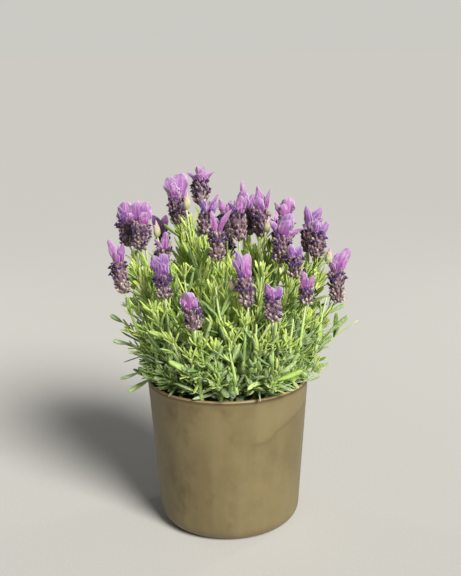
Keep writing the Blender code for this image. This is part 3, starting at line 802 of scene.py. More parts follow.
def clothe(heap, path, thick, dice, bare, youth, gap=1.0, low_start=0.0, blunt=False, green_from=0.0):
    """A stem along a path, with its leaf pairs and the small leaves in their axils, up to the bare stalk.

    gap spaces the pairs, low_start is the share of the stem without leaves at its foot, blunt gives the
    broad grey leaves of the low twigs, and green_from says how far up its life the stem's skin starts.
    """
    gaps = np.linalg.norm(np.diff(path, axis=0), axis=1)
    run = np.concatenate([[0.0], np.cumsum(gaps)])
    total = run[-1]
    share = run / total
    halves = thick * (1.5 - 0.85 * share)
    age = green_from + (1 - green_from) * share * (0.45 + 0.55 * youth)
    heap.loft(tube(path, halves, sides=8, squareness=0.16), 1, along=age[:, None])
    here = total * low_start + dice.uniform(2, 8) * MM
    quarter = dice.uniform(0, math.pi)
    while here < total - bare:
        at = here / total
        place = point_along(path, run, here)
        ahead = unit(point_along(path, run, min(here + 4 * MM, total)) - place + 1e-9)
        height = (place[2] - POT_HEIGHT) / (PLANT_TOP - POT_HEIGHT)
        young = limited(0.15 + 1.25 * height + 0.25 * (at - 0.5))
        near_top = max(0.0, 1 - (total - bare - here) / (16 * MM))
        length = dice.uniform(*LEAF_LENGTHS) * MM * (1 - 0.30 * near_top)
        length *= 0.80 + 0.32 * math.sin(math.pi * min(1, at))
        spread = math.radians(dice.uniform(36, 62) - 26 * young - 8 * near_top)
        for facing in (0.0, math.pi):
            if dice.random() < MISSING_LEAVES:
                continue
            out = around(ahead, quarter + facing + dice.gauss(0, 0.22))
            tilt = spread + dice.gauss(0, 0.12)
            way = ahead * math.cos(tilt) + out * math.sin(tilt)
            curl = UP * dice.gauss(0.15, 0.35) + out * dice.gauss(0.10, 0.25)
            # Leaf tone rises with height: partly the yellower young growth, partly painted light above and
            # painted shade below.
            tone = limited(dice.gauss(0.38 + 0.50 * young, 0.27)) * (0.8 if blunt else 1.0)
            silver = limited(dice.gauss(0.92 - 1.10 * young, 0.28) + (0.2 if blunt else 0.0))
            broad = dice.random() < 0.30 * (1 - young) or blunt
            size = length * dice.uniform(0.85, 1.15)
            wide = dice.uniform(*(BROAD_WIDTHS if broad else NARROW_WIDTHS)) * MM
            wide *= 1.30 if blunt else 1.0
            if broad and young < 0.35:
                size *= 0.86 if blunt else 0.74
            outline = BROAD_LEAF if broad else NARROW_LEAF
            grow_leaf(heap, place + out * thick * 0.8, way, size, wide, curl, tone, silver,
                      outline, fold=0.45 * young - 0.1, roll=dice.gauss(0, 0.35))
            for small in range(2 if dice.random() < 0.75 / gap and not blunt else 1):
                turn = quarter + facing + dice.gauss(0, 0.7)
                out = around(ahead, turn)
                tilt = math.radians(dice.uniform(14, 42))
                way = ahead * math.cos(tilt) + out * math.sin(tilt)
                small_size = size * dice.uniform(0.35, 0.62)
                small_width = wide * dice.uniform(0.55, 0.8)
                small_tone = min(1.0, tone + dice.uniform(0.0, 0.25))
                grow_leaf(heap, place + out * thick * 0.7, way, small_size, small_width, curl * 0.6,
                          small_tone, silver * 0.7, fold=0.3, roll=dice.gauss(0, 0.4))
        quarter += math.pi / 2 + dice.gauss(0, 0.08)
        here += dice.uniform(*PAIR_GAPS) * MM * gap * (1 + 0.30 * young) * (1 - 0.45 * near_top)
    if bare == 0.0:
        top_tuft(heap, path[-1], unit(path[-1] - path[-3]), dice, youth)


def top_tuft(heap, tip, ahead, dice, youth):
    """The close upright cluster of young leaves that ends a leafy shoot."""
    for leaf in range(7):
        out = around(ahead, leaf * 2.4 + dice.uniform(-0.3, 0.3))
        tilt = math.radians(6 + 5.0 * leaf)
        way = ahead * math.cos(tilt) + out * math.sin(tilt)
        # The bright tone of the tip tufts is partly young growth, partly painted light.
        tone = min(1.0, 0.45 + 0.35 * youth + dice.uniform(0.0, 0.2))
        grow_leaf(heap, tip - ahead * 0.8 * leaf * MM, way, (9 + 1.7 * leaf) * MM, (2.0 + 0.22 * leaf) * MM,
                  out * dice.uniform(-0.1, 0.3), tone, max(0.0, 0.35 - 0.5 * youth), fold=0.35)


def wander(path, dice, amount):
    """A little life in a stem: slow sideways bends that leave its foot and tip in place."""
    share = np.linspace(0, 1, len(path))
    push = np.sin(math.pi * share) * amount
    swing = np.sin(math.pi * share * dice.uniform(1.2, 2.6) + dice.uniform(0, 6))
    path[:, 0] += push * swing * dice.uniform(-1, 1)
    path[:, 1] += push * swing * dice.uniform(-1, 1)
    return path


def make_branch(name, carried, seed):
    """One branch: a stem under each of its flowers, and four shorter leafy shoots beside every stem."""
    dice = random.Random(seed)
    heap = Heap("tone", "silver", "along", "across", "under")
    feet = [foot_of(item) for item in carried]
    for foot in feet:
        end = foot + UP * 1.2 * MM
        path = stem_path(end)
        bare = dice.uniform(0.35, 0.9) * BARE_STALK
        clothe(heap, path, FLOWER_STEM, dice, bare, youth=1.0, low_start=0.08)
    for foot in feet:
        for extra in range(4):
            x = foot[0] * dice.uniform(0.82, 1.0) + dice.gauss(0, 10) * MM
            y = foot[1] * dice.uniform(0.82, 1.0) + dice.gauss(0, 10) * MM
            top = foot[2] - (12 + 16 * extra + dice.uniform(-5, 12)) * MM
            path = wander(stem_path((x, y, top)), dice, 3 * MM)
            clothe(heap, path, SHOOT_STEM, dice, 0.0, youth=0.9, low_start=0.10)
    piece = heap.piece(name + "_stems_and_leaves", LEAF_LOOKS)
    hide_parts(name)


for number, (name, carried) in enumerate(BRANCHES.items()):
    make_branch(name, carried, 100 + number)

# ---------------------------------------------------------------------------------------------
# Leafy shoots: the eleven outer shoots that carry no flower. They lean out over the rim all
# round, and their own side shoots sprawl low and fill the pot's mouth with grey-green leaves.
LEAFY_SHOOTS = [name for name in sorted(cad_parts) if name.startswith("leafy_shoot_")]
TIP_DRAWN_IN = 18 * MM
TWIG_STEM = 0.8 * MM


def tip_of(name):
    points = node_points(name)
    return points[points[:, 2] > points[:, 2].max() - 2 * MM].mean(axis=0)


def leaning_tip(turn, reach, height):
    return reach * math.cos(turn), reach * math.sin(turn), height


def make_leafy_shoot(name, seed):
    """One shoot with five upright side shoots, eight low sprawling ones and five broad-leaved twigs."""
    dice = random.Random(seed)
    heap = Heap("tone", "silver", "along", "across", "under")
    tip = tip_of(name)
    turn = math.atan2(tip[1], tip[0])
    tip = tip - np.array([math.cos(turn), math.sin(turn), 0.0]) * TIP_DRAWN_IN
    clothe(heap, stem_path(tip), 1.0 * MM, dice, 0.0, youth=0.6, low_start=0.10)
    for extra in range(5):
        way = turn + dice.uniform(-0.33, 0.33)
        reach = dice.uniform(52, 88) * MM
        top = (166 + 58 * dice.random() - 0.12 * reach / MM) * MM
        path = wander(stem_path(leaning_tip(way, reach, top)), dice, 4 * MM)
        clothe(heap, path, SHOOT_STEM, dice, 0.0, youth=0.4, low_start=0.10, blunt=extra < 2)
    for low in range(8):
        way = turn + dice.uniform(-0.30, 0.30)
        reach = dice.uniform(52, 75) * MM
        height = dice.uniform(151, 164) * MM
        path = stem_path(leaning_tip(way, reach, height), root=24 * MM)
        clothe(heap, path, TWIG_STEM, dice, 0.0, youth=0.1, low_start=0.25, blunt=low < 6)
    for twig in range(5):
        way = turn + dice.uniform(-0.33, 0.33)
        reach = dice.uniform(70, 84) * MM
        height = dice.uniform(160, 196) * MM
        path = stem_path(leaning_tip(way, reach, height), root=40 * MM)
        clothe(heap, path, TWIG_STEM, dice, 0.0, youth=0.1, low_start=0.62, blunt=True, green_from=0.2)
    piece = heap.piece(name + "_stems_and_leaves", LEAF_LOOKS)
    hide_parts(name)


for number, name in enumerate(LEAFY_SHOOTS):
    make_leafy_shoot(name, 300 + number)

# ---------------------------------------------------------------------------------------------
# Young canes: straight new shoots at the edge of the bush, and pale bare stalks that stand clear
# in front of the leaves. They are this year's growth, and spring from the crown like the rest.
# For each cane, in mm: where it ends (x, y, height) and how far from the middle it roots.
YOUNG_CANES = (
    (-34, -84, 196, 58), (-12, -86, 204, 60), (4, -84, 212, 56), (36, -80, 206, 54),
    (56, -74, 204, 52), (-50, -74, 208, 50), (-70, -44, 228, 42), (74, -46, 216, 44),
    (-24, -80, 205, 56), (13, -68, 232, 44), (24, -66, 222, 46), (46, -60, 226, 44),
    (-64, -52, 222, 40), (-88, -18, 262, 34), (-78, -14, 258, 30), (-58, 12, 276, 26),
    (-40, -30, 262, 28), (-12, -46, 248, 30), (34, -34, 262, 28), (60, -30, 250, 32),
    (72, -8, 258, 34), (90, -6, 246, 38), (-30, 80, 240, 46), (40, 78, 236, 46), (84, 40, 244, 40),
    (-84, 44, 246, 40),
)
# For each pale stalk, in mm: where it comes out of the bush and where it ends.
FRONT_STALKS = (
    ((-25, -73, 150), (-29, -85, 224)), ((14, -78, 182), (20, -72, 240)),
    ((41, -76, 158), (42, -83, 229)), ((25, -82, 182), (27, -80, 226)),
    ((-53, -66, 186), (-57, -47, 243)), ((68, -62, 198), (74, -53, 236)),
    ((-1, -70, 204), (-10, -50, 254)), ((-66, -52, 176), (-72, -40, 226)),
    ((85, -34, 184), (97, -20, 234)), ((58, -68, 178), (62, -58, 224)),
    ((-84, -30, 196), (-96, -25, 243)), ((8, -84, 160), (2, -86, 206)),
)


def make_young_canes():
    """The pale stalks first, then the canes with their leaves, as one piece."""
    dice = random.Random(91)
    heap = Heap("tone", "silver", "along", "across", "under")
    for start, end in FRONT_STALKS:
        share = np.linspace(0, 1, 14)[:, None]
        path = (np.array(start) * (1 - share) + np.array(end) * share) * MM
        path = wander(path, dice, 1.2 * MM)
        clothe(heap, path, FLOWER_STEM, dice, 14 * MM, youth=1.0, gap=1.7, green_from=0.45)
    for x, y, top, root in YOUNG_CANES:
        path = wander(stem_path((x * MM, y * MM, top * MM), root=root * MM), dice, 2 * MM)
        clothe(heap, path, FLOWER_STEM, dice, 0.0, youth=1.0, low_start=0.45)
    piece = heap.piece("young_canes", LEAF_LOOKS)


make_young_canes()

# ---------------------------------------------------------------------------------------------
# Stray leaves: single leaves that stand out by themselves at the edge of the bush, each at the
# end of its own thin twig. They are old leaves whose partners have dropped.
# For each: where the blade starts and ends and its width, in mm, then how much it bows, how
# yellow it is and how grey.
STRAY_LEAVES = (
    ((-77, -22, 155), (-98, -27, 144), 5.0, 0.1, 0.75, 0.6),
    ((-88, -15, 160), (-106, -18, 154), 3.6, 0.25, 0.5, 0.8),
    ((-97, -12, 189), (-112, -13, 192), 4.6, 0.2, 0.5, 0.9),
    ((-103, -6, 209), (-114, -8, 217), 4.8, -0.1, 0.25, 0.2),
    ((-58, -64, 191), (-74, -68, 216), 5.2, 0.05, 0.05, 0.0),
    ((-22, -10, 243), (-36, -4, 286), 5.0, 0.05, 0.1, 0.1),
    ((-29, -80, 180), (-53, -84, 193), 6.4, 0.1, 0.5, 0.1),
    ((-27, -81, 184), (-8, -86, 207), 5.2, 0.15, 0.5, 1.0),
    ((-92, 8, 272), (-73, 10, 292), 4.6, 0.1, 0.45, 0.3),
    ((-44, 20, 288), (-60, 22, 301), 5.0, 0.1, 0.4, 0.3),
    ((97, -2, 190), (120, -3, 210), 5.4, 0.25, 0.6, 0.7),
    ((104, 8, 212), (118, 8, 219), 3.8, 0.1, 0.6, 0.6),
    ((92, -6, 180), (104, -7, 191), 3.8, 0.1, 0.5, 0.8),
    ((85, -14, 158), (101, -16, 166), 2.4, 0.1, 0.6, 0.8),
    ((74, -30, 153.5), (90, -34, 158), 1.7, 0.9, 0.7, 0.8),
    ((45, -76, 170), (69, -71, 177), 6.2, 0.1, 0.5, 0.0),
    ((20, 84, 190), (24, 104, 210), 4.6, 0.2, 0.5, 0.6),
    ((-60, 78, 176), (-74, 88, 190), 4.4, 0.2, 0.5, 0.7),
)
STRAY_TWIG = 0.75 * MM


def make_stray_leaves():
    """Each stray leaf with its twig, all as one piece."""
    dice = random.Random(77)
    heap = Heap("tone", "silver", "along", "across", "under")
    for start, end, width, bow, tone, silver in STRAY_LEAVES:
        start = np.array(start) * MM
        end = np.array(end) * MM
        path = stem_path(start + UP * 0.3 * MM)
        clothe(heap, path, STRAY_TWIG, dice, 6 * MM, youth=0.6, low_start=0.2)
        way = unit(end - start)
        outward = 1 if start[1] < 10 * MM else -1
        length = np.linalg.norm(end - start) * 1.04
        roll = -0.8 * outward * np.sign(way[0])
        grow_leaf(heap, start, way - UP * bow * 0.5, length, width * MM, UP * bow, tone, silver,
                  free=True, roll=roll)
    piece = heap.piece("stray_leaves", LEAF_LOOKS)


make_stray_leaves()

# ---------------------------------------------------------------------------------------------
# Flower heads: a plump spike of downy brown-mauve calyces in whorls, with small dark indigo
# flowers open here and there, and a tuft of long papery mauve bracts standing on top like ears.
# Each grew on its stalk as one piece.
# For each head: spike length, how stout it is, then its bracts, each with its length and width in mm,
# the way it leans and by how much, the way its broad face looks, and how pointed it is (0 round, 1 sharp).
HEADS = {
    "flower_head_01": (33, 1.0, (23, 7, 180, 7, 258, 0.2), (19, 7, 0, 14, 285, 0.4),
                       (12, 6, 250, 6, 265, 0.2), (16, 7, 90, 20, 90, 0.3)),
    "flower_head_02": (24, 1.15, (22, 14, 0, 2, 266, 0.0), (18, 11, 180, 8, 255, 0.1),
                       (12, 8, 0, 10, 280, 0.2)),
    "flower_head_03": (27, 1.22, (22, 15, 180, 13, 280, 0.0), (21, 13, 0, 0, 268, 0.0),
                       (13, 10, 300, 6, 280, 0.0), (18, 10, 90, 22, 90, 0.1)),
    "flower_head_04": (18, 0.78, (18, 8, 0, 6, 268, 0.1), (13, 5, 180, 18, 240, 0.3),
                       (13, 6, 90, 18, 90, 0.3)),
    "flower_head_05": (24, 1.0, (20, 12, 190, 7, 255, 0.1), (21, 12, 0, 7, 280, 0.1),
                       (16, 11, 270, 16, 270, 0.1), (15, 8, 90, 25, 90, 0.2)),
    "flower_head_06": (25, 1.28, (23, 15, 185, 9, 255, 0.0), (26, 16, 10, 9, 275, 0.0),
                       (17, 11, 200, 12, 265, 0.1), (20, 10, 90, 20, 90, 0.1)),
    "flower_head_07": (24, 1.28, (17, 8, 170, 4, 250, 0.1), (17, 8, 0, 4, 285, 0.1),
                       (16, 5, 180, 36, 240, 0.4), (17, 5, 0, 38, 300, 0.7), (12, 7, 250, 24, 250, 0.2)),
    "flower_head_08": (22, 1.05, (19, 8, 180, 20, 250, 0.3), (22, 5, 0, 14, 290, 0.4),
                       (15, 8, 0, 24, 280, 0.3), (14, 8, 90, 22, 90, 0.2)),
    "flower_head_09": (30, 1.0, (21, 6, 180, 6, 262, 0.4), (24, 6, 0, 26, 285, 0.6),
                       (13, 6, 90, 18, 90, 0.3)),
    "flower_head_10": (25, 1.0, (17, 7, 180, 10, 262, 0.5), (16, 6, 0, 14, 285, 0.5),
                       (13, 7, 90, 14, 90, 0.3)),
    "flower_head_11": (29, 1.1, (18, 11, 0, 7, 268, 0.3), (14, 7, 180, 22, 250, 0.4),
                       (15, 8, 90, 20, 90, 0.2)),
    "flower_head_12": (27, 1.4, (30, 6, 185, 5, 265, 0.2), (20, 12, 180, 10, 262, 0.1),
                       (18, 9, 0, 16, 285, 0.3), (16, 8, 90, 18, 90, 0.2)),
    "flower_head_13": (27, 1.25, (25, 9, 180, 9, 270, 0.7), (23, 6, 0, 10, 285, 0.9),
                       (17, 11, 190, 16, 262, 0.3), (16, 8, 90, 18, 90, 0.3)),
    "flower_head_14": (26, 1.3, (20, 7, 180, 30, 248, 0.3), (24, 13, 0, 6, 272, 0.0),
                       (19, 13, 300, 10, 275, 0.1), (21, 5, 0, 50, 290, 0.8), (15, 8, 90, 20, 90, 0.1)),
    "flower_head_15": (26, 1.0, (17, 8, 180, 22, 255, 0.6), (19, 14, 0, 8, 272, 0.0),
                       (14, 9, 250, 8, 268, 0.1), (15, 8, 90, 18, 90, 0.2)),
    "flower_head_16": (20, 0.9, (15, 8, 190, 10, 255, 0.3), (13, 8, 0, 12, 285, 0.3),
                       (11, 7, 90, 20, 90, 0.3)),
    "flower_head_17": (28, 1.15, (21, 9, 180, 12, 255, 0.6), (21, 10, 0, 14, 280, 0.3),
                       (13, 7, 350, 32, 300, 0.2), (16, 9, 90, 20, 90, 0.2)),
    "flower_head_18": (24, 1.0, (17, 8, 180, 8, 255, 0.3), (16, 8, 0, 12, 285, 0.3),
                       (14, 7, 90, 18, 90, 0.2)),
    "flower_head_19": (33, 1.0, (24, 12, 0, 26, 275, 0.1), (12, 7, 185, 14, 250, 0.2),
                       (18, 10, 60, 18, 90, 0.1)),
    "flower_head_20": (29, 1.0, (25, 10, 190, 2, 268, 0.5), (23, 11, 0, 9, 285, 0.2),
                       (20, 8, 180, 14, 250, 0.3), (18, 9, 90, 18, 90, 0.2)),
    "flower_head_21": (21, 1.0, (18, 9, 190, 12, 258, 0.2), (15, 10, 0, 16, 282, 0.2),
                       (12, 7, 90, 18, 90, 0.2)),
    "flower_head_22": (17, 0.84, (17, 8, 180, 8, 262, 0.2), (15, 7, 0, 14, 285, 0.3),
                       (11, 6, 90, 18, 90, 0.3)),
    "flower_head_23": (20, 1.0, (17, 16, 185, 3, 270, 0.0), (12, 7, 0, 10, 285, 0.1),
                       (12, 8, 90, 18, 90, 0.2)),
    "flower_head_24": (24, 1.0, (20, 10, 180, 12, 110, 0.2), (19, 9, 0, 12, 70, 0.3),
                       (16, 8, 270, 16, 270, 0.2)),
    "flower_head_25": (25, 1.0, (20, 9, 180, 12, 100, 0.2), (18, 10, 0, 14, 80, 0.1),
                       (15, 8, 270, 14, 270, 0.3)),
    "flower_head_26": (25, 1.0, (20, 9, 180, 10, 100, 0.4), (20, 10, 0, 14, 60, 0.1),
                       (15, 8, 270, 14, 270, 0.2)),
}
BRACT_STATIONS = np.array([0.0, 0.07, 0.17, 0.30, 0.44, 0.58, 0.71, 0.82, 0.91, 0.965, 1.0])
BRACT_ROWS = np.linspace(-1, 1, 9)
BRACT_LONGER = 1.16
BRACT_WIDER = 1.08
BRACT_RIB = 0.42 * MM
BRACT_SKIN = 0.16 * MM
BRACT_CLAW_SKIN = 0.10 * MM
WHORL_GAP = 3.2 * MM
CALYX_LENGTHS = (3.8, 6.6)
CALYX_WIDTHS = (1.9, 3.3)
FLOWER_SIZES = (3.2, 4.8)
SCALE_LENGTHS = (4.4, 6.0)
SCALE_WIDTHS = (4.8, 6.4)
HAIR_LENGTHS = (1.2, 2.8)
HAIR_HALF_WIDTH = 0.085 * MM
HAIR_TIP_HALF_WIDTH = 0.02 * MM
OPEN_IN_FLOWERING_WHORL = 0.62
OPEN_ELSEWHERE = 0.12
# Bract colours, each from the claw to the tip.
PINK_BRACT = ((0.070, 0.020, 0.050), (0.320, 0.060, 0.290), (0.500, 0.180, 0.510), (0.660, 0.420, 0.700))
VIOLET_BRACT = ((0.040, 0.016, 0.070), (0.150, 0.050, 0.290), (0.350, 0.175, 0.540), (0.580, 0.420, 0.720))
BRACT_DARK_STREAK = (0.125, 0.030, 0.165)
BRACT_PALE_STREAK = (0.780, 0.560, 0.830)
BRACT_VEIN = (0.30, 0.08, 0.34)
BRACT_EDGE = (0.84, 0.68, 0.88)
BRACT_BLEACHED = (0.84, 0.66, 0.88)
# Calyx colours, each from the root to the teeth; the pale teeth are partly down and partly painted
# highlight.
MAUVE_CALYX = ((0.030, 0.016, 0.012), (0.075, 0.024, 0.050), (0.235, 0.105, 0.155), (0.520, 0.380, 0.430))
OLIVE_CALYX = ((0.090, 0.100, 0.030), (0.300, 0.220, 0.140), (0.780, 0.660, 0.610))
CALYX_DOWN_AND_HIGHLIGHT = (0.50, 0.40, 0.46)
PETAL_TUBE = (0.018, 0.008, 0.036)
PETAL_INDIGO = (0.034, 0.012, 0.078)
PETAL_LIP = (0.100, 0.040, 0.190)
PETAL_VELVET = (0.13, 0.05, 0.22)
SCALE_ROOT = (0.170, 0.200, 0.070)
SCALE_PLUM = (0.220, 0.105, 0.170)
SCALE_TIP = (0.360, 0.190, 0.330)
SCALE_BROWN = (0.30, 0.22, 0.15)
SCALE_DARK = (0.10, 0.045, 0.09)
DOWN_SHADED = (0.50, 0.40, 0.46)
DOWN_WHITE = (0.78, 0.72, 0.74)


def heading(degrees):
    return np.array([math.cos(math.radians(degrees)), math.sin(math.radians(degrees)), 0.0])


def bract_outline(pointed):
    """Half widths of a bract, narrow at its claw, widest past the middle, round or pointed at the tip."""
    t = BRACT_STATIONS
    body = 0.40 + 0.60 * np.sin(np.clip(t / 0.55, 0, 1) * math.pi / 2) ** 1.2
    round_tip = np.sqrt(np.clip(1 - ((t - 0.55) / 0.455) ** 2, 0, 1))
    sharp_tip = np.clip(1 - (t - 0.45) / 0.56, 0, 1) ** 0.9
    tip = np.where(t < 0.5, 1.0, round_tip * (1 - pointed) + sharp_tip * pointed)
    return np.maximum(body * tip, 0.05)


def grow_bract(heap, base, axis, bract, dice):
    """One papery ear: a thin cupped sheet with waved edges that bends back a little at its tip."""
    length, width, lean_to, lean, look_to, pointed = bract
    length *= BRACT_LONGER * MM
    width *= BRACT_WIDER * MM
    out = heading(lean_to)
    out = unit(out - axis * out.dot(axis))
    face = heading(look_to)
    lean = math.radians(lean)
    path = [np.array(base)]
    steps = len(BRACT_STATIONS)
    for i in range(1, steps):
        t = BRACT_STATIONS[i]
        tilt = lean * (0.55 + 0.9 * t)
        way = axis * math.cos(tilt) + out * math.sin(tilt) + face * 0.10 * (t - 0.3)
        path.append(path[-1] + unit(way) * length * (t - BRACT_STATIONS[i - 1]))
    path = np.array(path)
    ahead = np.gradient(path, axis=0)
    ahead /= np.linalg.norm(ahead, axis=1)[:, None]
    face = face[None, :] - ahead * (ahead @ face)[:, None]
    face /= np.linalg.norm(face, axis=1)[:, None]
    side = np.cross(ahead, face)
    phase = dice.uniform(0, 6)
    half = bract_outline(pointed) * width / 2 * (1 + 0.09 * np.sin(17 * BRACT_STATIONS + phase))
    twist = dice.uniform(-0.45, 0.45) * BRACT_STATIONS[:, None]
    side, face = side * np.cos(twist) + face * np.sin(twist), face * np.cos(twist) - side * np.sin(twist)
    t = BRACT_STATIONS[:, None]
    u = BRACT_ROWS[None, :]
    cup = dice.uniform(-0.55, -0.15) * np.abs(u) ** 1.6 * half[:, None]
    wave = 0.34 * half[:, None] * np.abs(u) ** 2 * np.sin(10 * t + phase + 1.7 * np.sign(u))
    ribs = BRACT_RIB * np.cos(u * math.pi * 3.2 + 2.6 * t + phase) * (1 - u ** 2) * np.sin(math.pi * t)
    lift = cup + wave + ribs
    thick = (BRACT_SKIN + BRACT_CLAW_SKIN * (1 - t)) * (1 - 0.7 * np.abs(u) ** 4)
    flat = path[:, None, :] + (half[:, None] * u)[..., None] * side[:, None, :]
    outer = flat + (lift + thick)[..., None] * face[:, None, :]
    inner = flat + (lift - thick)[..., None] * face[:, None, :]
    rings = np.concatenate([outer, inner[:, ::-1]], axis=1)
    over = np.abs(np.concatenate([u, u[:, ::-1]], axis=1))
    heap.loft(rings[:, ::-1], BRACT, tone=dice.random(), along=t, across=over[:, ::-1])


def rounds(way, angle, count):
    """Ways out from an axis, evenly round it, with their angles."""
    side = around(way, angle)
    up = np.cross(way, side)
    turns = np.linspace(0, math.tau, count + 1)[:-1]
    return turns, np.cos(turns)[:, None] * side + np.sin(turns)[:, None] * up


def calyx(heap, base, way, length, width, tone, slot):
    """A downy ribbed tube, swollen low down and toothed at its mouth."""
    turns, outward = rounds(way, tone * 6, 7)
    shape = ((0.0, 0.45), (0.22, 0.85), (0.50, 0.95), (0.74, 0.80), (0.92, 0.50), (1.0, 0.12))
    rings = []
    for station, swell in shape:
        flute = 1 + (0.12 + 0.25 * station) * np.cos(turns * 3)
        reach = (width / 2 * swell * flute)[:, None]
        rings.append(base + way * length * station + reach * outward)
    stations = np.array([row[0] for row in shape])[:, None]
    heap.loft(np.array(rings), slot, tone=tone, along=stations)


def corolla(heap, base, way, size, tone, slot):
    """A small open flower: a short tube that flares into five rounded lobes."""
    turns, outward = rounds(way, tone * 6, 10)
    shape = ((0.0, 0.30, 0.0), (0.5, 0.40, 0.0), (0.80, 0.80, 0.12),
             (0.97, 1.0, 0.24), (0.92, 0.62, 0.2), (0.70, 0.18, 0.0))
    rings = []
    for station, swell, frill in shape:
        reach = (size * 0.5 * swell * (1 + frill * np.cos(turns * 5)))[:, None]
        rings.append(base + way * size * station + reach * outward)
    heap.loft(np.array(rings), slot, tone=tone, along=np.array([0, 0.5, 0.8, 1, 0.9, 0.6])[:, None])


def scale_leaf(heap, base, out, axis, length, width, tone, slot):
    """A fertile bract: a broad, short, pointed scale lying over the calyces."""
    side = np.cross(axis, out)
    shape = ((0.0, 0.5, 0.0), (0.3, 1.0, 0.30), (0.6, 0.85, 0.45), (0.85, 0.42, 0.62), (1.0, 0.08, 0.85))
    across = np.array([-1.0, -0.5, 0.0, 0.5, 1.0, 0.5, 0.0, -0.5])
    deep = np.array([-0.34, -0.09, 0.0, -0.09, -0.34, -0.2, -0.12, -0.2])
    rings = []
    for station, swell, lift in shape:
        centre = base + axis * length * station + out * 1.6 * MM * lift
        rings.append(centre + (across * width / 2 * swell)[:, None] * side + (deep * width)[:, None] * out)
    stations = np.array([row[0] for row in shape])[:, None]
    heap.loft(np.array(rings)[:, ::-1], slot, tone=tone, along=stations)


def hair(heap, base, way, length, slot):
    """One white hair, three-sided and tapered."""
    outward = rounds(way, 0.0, 3)[1]
    rings = [base + HAIR_HALF_WIDTH * outward, base + way * length + HAIR_TIP_HALF_WIDTH * outward]
    heap.loft(np.array(rings), slot, tone=0.5, along=np.array([0.0, 1.0])[:, None])


def mauve_bract():
    """Papery bract: dark at the claw, violet-pink in the blade, whitish at edge and tip, finely veined."""
    bract = Nodes("mauve_bract")
    along = bract.stored("along")
    across = bract.stored("across")
    tone = bract.stored("tone")
    pink = bract.ramp(along, *zip((0.0, 0.30, 0.60, 1.0), PINK_BRACT))
    violet = bract.ramp(along, *zip((0.0, 0.34, 0.68, 1.0), VIOLET_BRACT))
    body = bract.mix(bract.grey(tone, 0.35, 0.85), pink, violet)
    lay = bract.node("ShaderNodeCombineXYZ")
    bract.join(bract.sum("MULTIPLY", across, 1.6), lay.inputs["X"])
    bract.join(bract.sum("MULTIPLY", along, 0.45), lay.inputs["Y"])
    bract.join(bract.sum("MULTIPLY", tone, 9.0), lay.inputs["Z"])
    streaks = bract.noise(lay.outputs["Vector"], 2.6, 3.0)
    dark = bract.sum("MULTIPLY", bract.grey(streaks, 0.49, 0.66), 0.80)
    body = bract.mix(dark, body, BRACT_DARK_STREAK)
    pale = bract.sum("MULTIPLY", bract.fade(streaks, 0.30, 0.45), 0.60)
    body = bract.mix(pale, body, BRACT_PALE_STREAK)
    veins = bract.node("ShaderNodeTexWave", wave_type="BANDS", Scale=2.2, Distortion=1.2)
    veins.inputs["Detail"].default_value = 2.0
    bract.join(lay.outputs["Vector"], veins.inputs["Vector"])
    vein = bract.grey(veins.outputs["Fac"], 0.55, 0.95)
    body = bract.mix(bract.sum("MULTIPLY", vein, 0.30), body, BRACT_VEIN)
    body = bract.mix(bract.sum("MULTIPLY", bract.grey(across, 0.78, 1.0), 0.60), body, BRACT_EDGE)
    patches = bract.noise(bract.place(), 260, 3.0)
    body = bract.mix(bract.sum("MULTIPLY", bract.grey(patches, 0.52, 0.72), 0.45), body, BRACT_BLEACHED)
    bract.colour(body)
    bract.rough(patches, 0.42, 0.6)
    bract.bump(bract.sum("ADD", vein, bract.noise(bract.place(), 1400, 2.0)), 0.35, 0.0002)
    bract.steady(Sheen_Weight=0.15, Sheen_Roughness=0.35, Subsurface_Weight=0.25, Subsurface_Scale=0.0015)
    bract.shader.inputs["Subsurface Radius"].default_value = (1.0, 0.45, 1.0)
    return bract.material


def downy_calyx():
    """Brown-mauve felt, greener at the root of each calyx, pale at its teeth and in flecks, the paleness
    partly down and partly painted highlight.
    """
    felt = Nodes("downy_calyx")
    along = felt.stored("along")
    tone = felt.stored("tone")
    grain = felt.noise(felt.place(), 1500, 3.0)
    mauve = felt.ramp(along, *zip((0.0, 0.45, 0.80, 1.0), MAUVE_CALYX))
    olive = felt.ramp(along, *zip((0.0, 0.50, 1.0), OLIVE_CALYX))
    body = felt.mix(felt.grey(tone, 0.50, 1.0), mauve, olive)
    # Pale flecks: partly down, partly painted highlight.
    body = felt.mix(felt.grey(grain, 0.60, 0.85), body, CALYX_DOWN_AND_HIGHLIGHT)
    felt.colour(body)
    felt.rough(grain, 0.7, 0.95)
    felt.bump(grain, 0.6, 0.0004)
    felt.steady(Sheen_Weight=0.7, Sheen_Roughness=0.5)
    return felt.material


def indigo_petal():
    """The tiny open flowers: near-black indigo velvet with a brighter violet lip."""
    petal = Nodes("indigo_petal")
    along = petal.stored("along")
    grain = petal.noise(petal.place(), 1800, 2.0)
    body = petal.ramp(along, (0.2, PETAL_TUBE), (0.85, PETAL_INDIGO), (1.0, PETAL_LIP))
    petal.colour(petal.mix(petal.sum("MULTIPLY", grain, 0.3), body, PETAL_VELVET))
    petal.rough(grain, 0.45, 0.65)
    petal.bump(grain, 0.4, 0.0002)
    petal.steady(Sheen_Weight=0.3, Sheen_Roughness=0.3)
    return petal.material


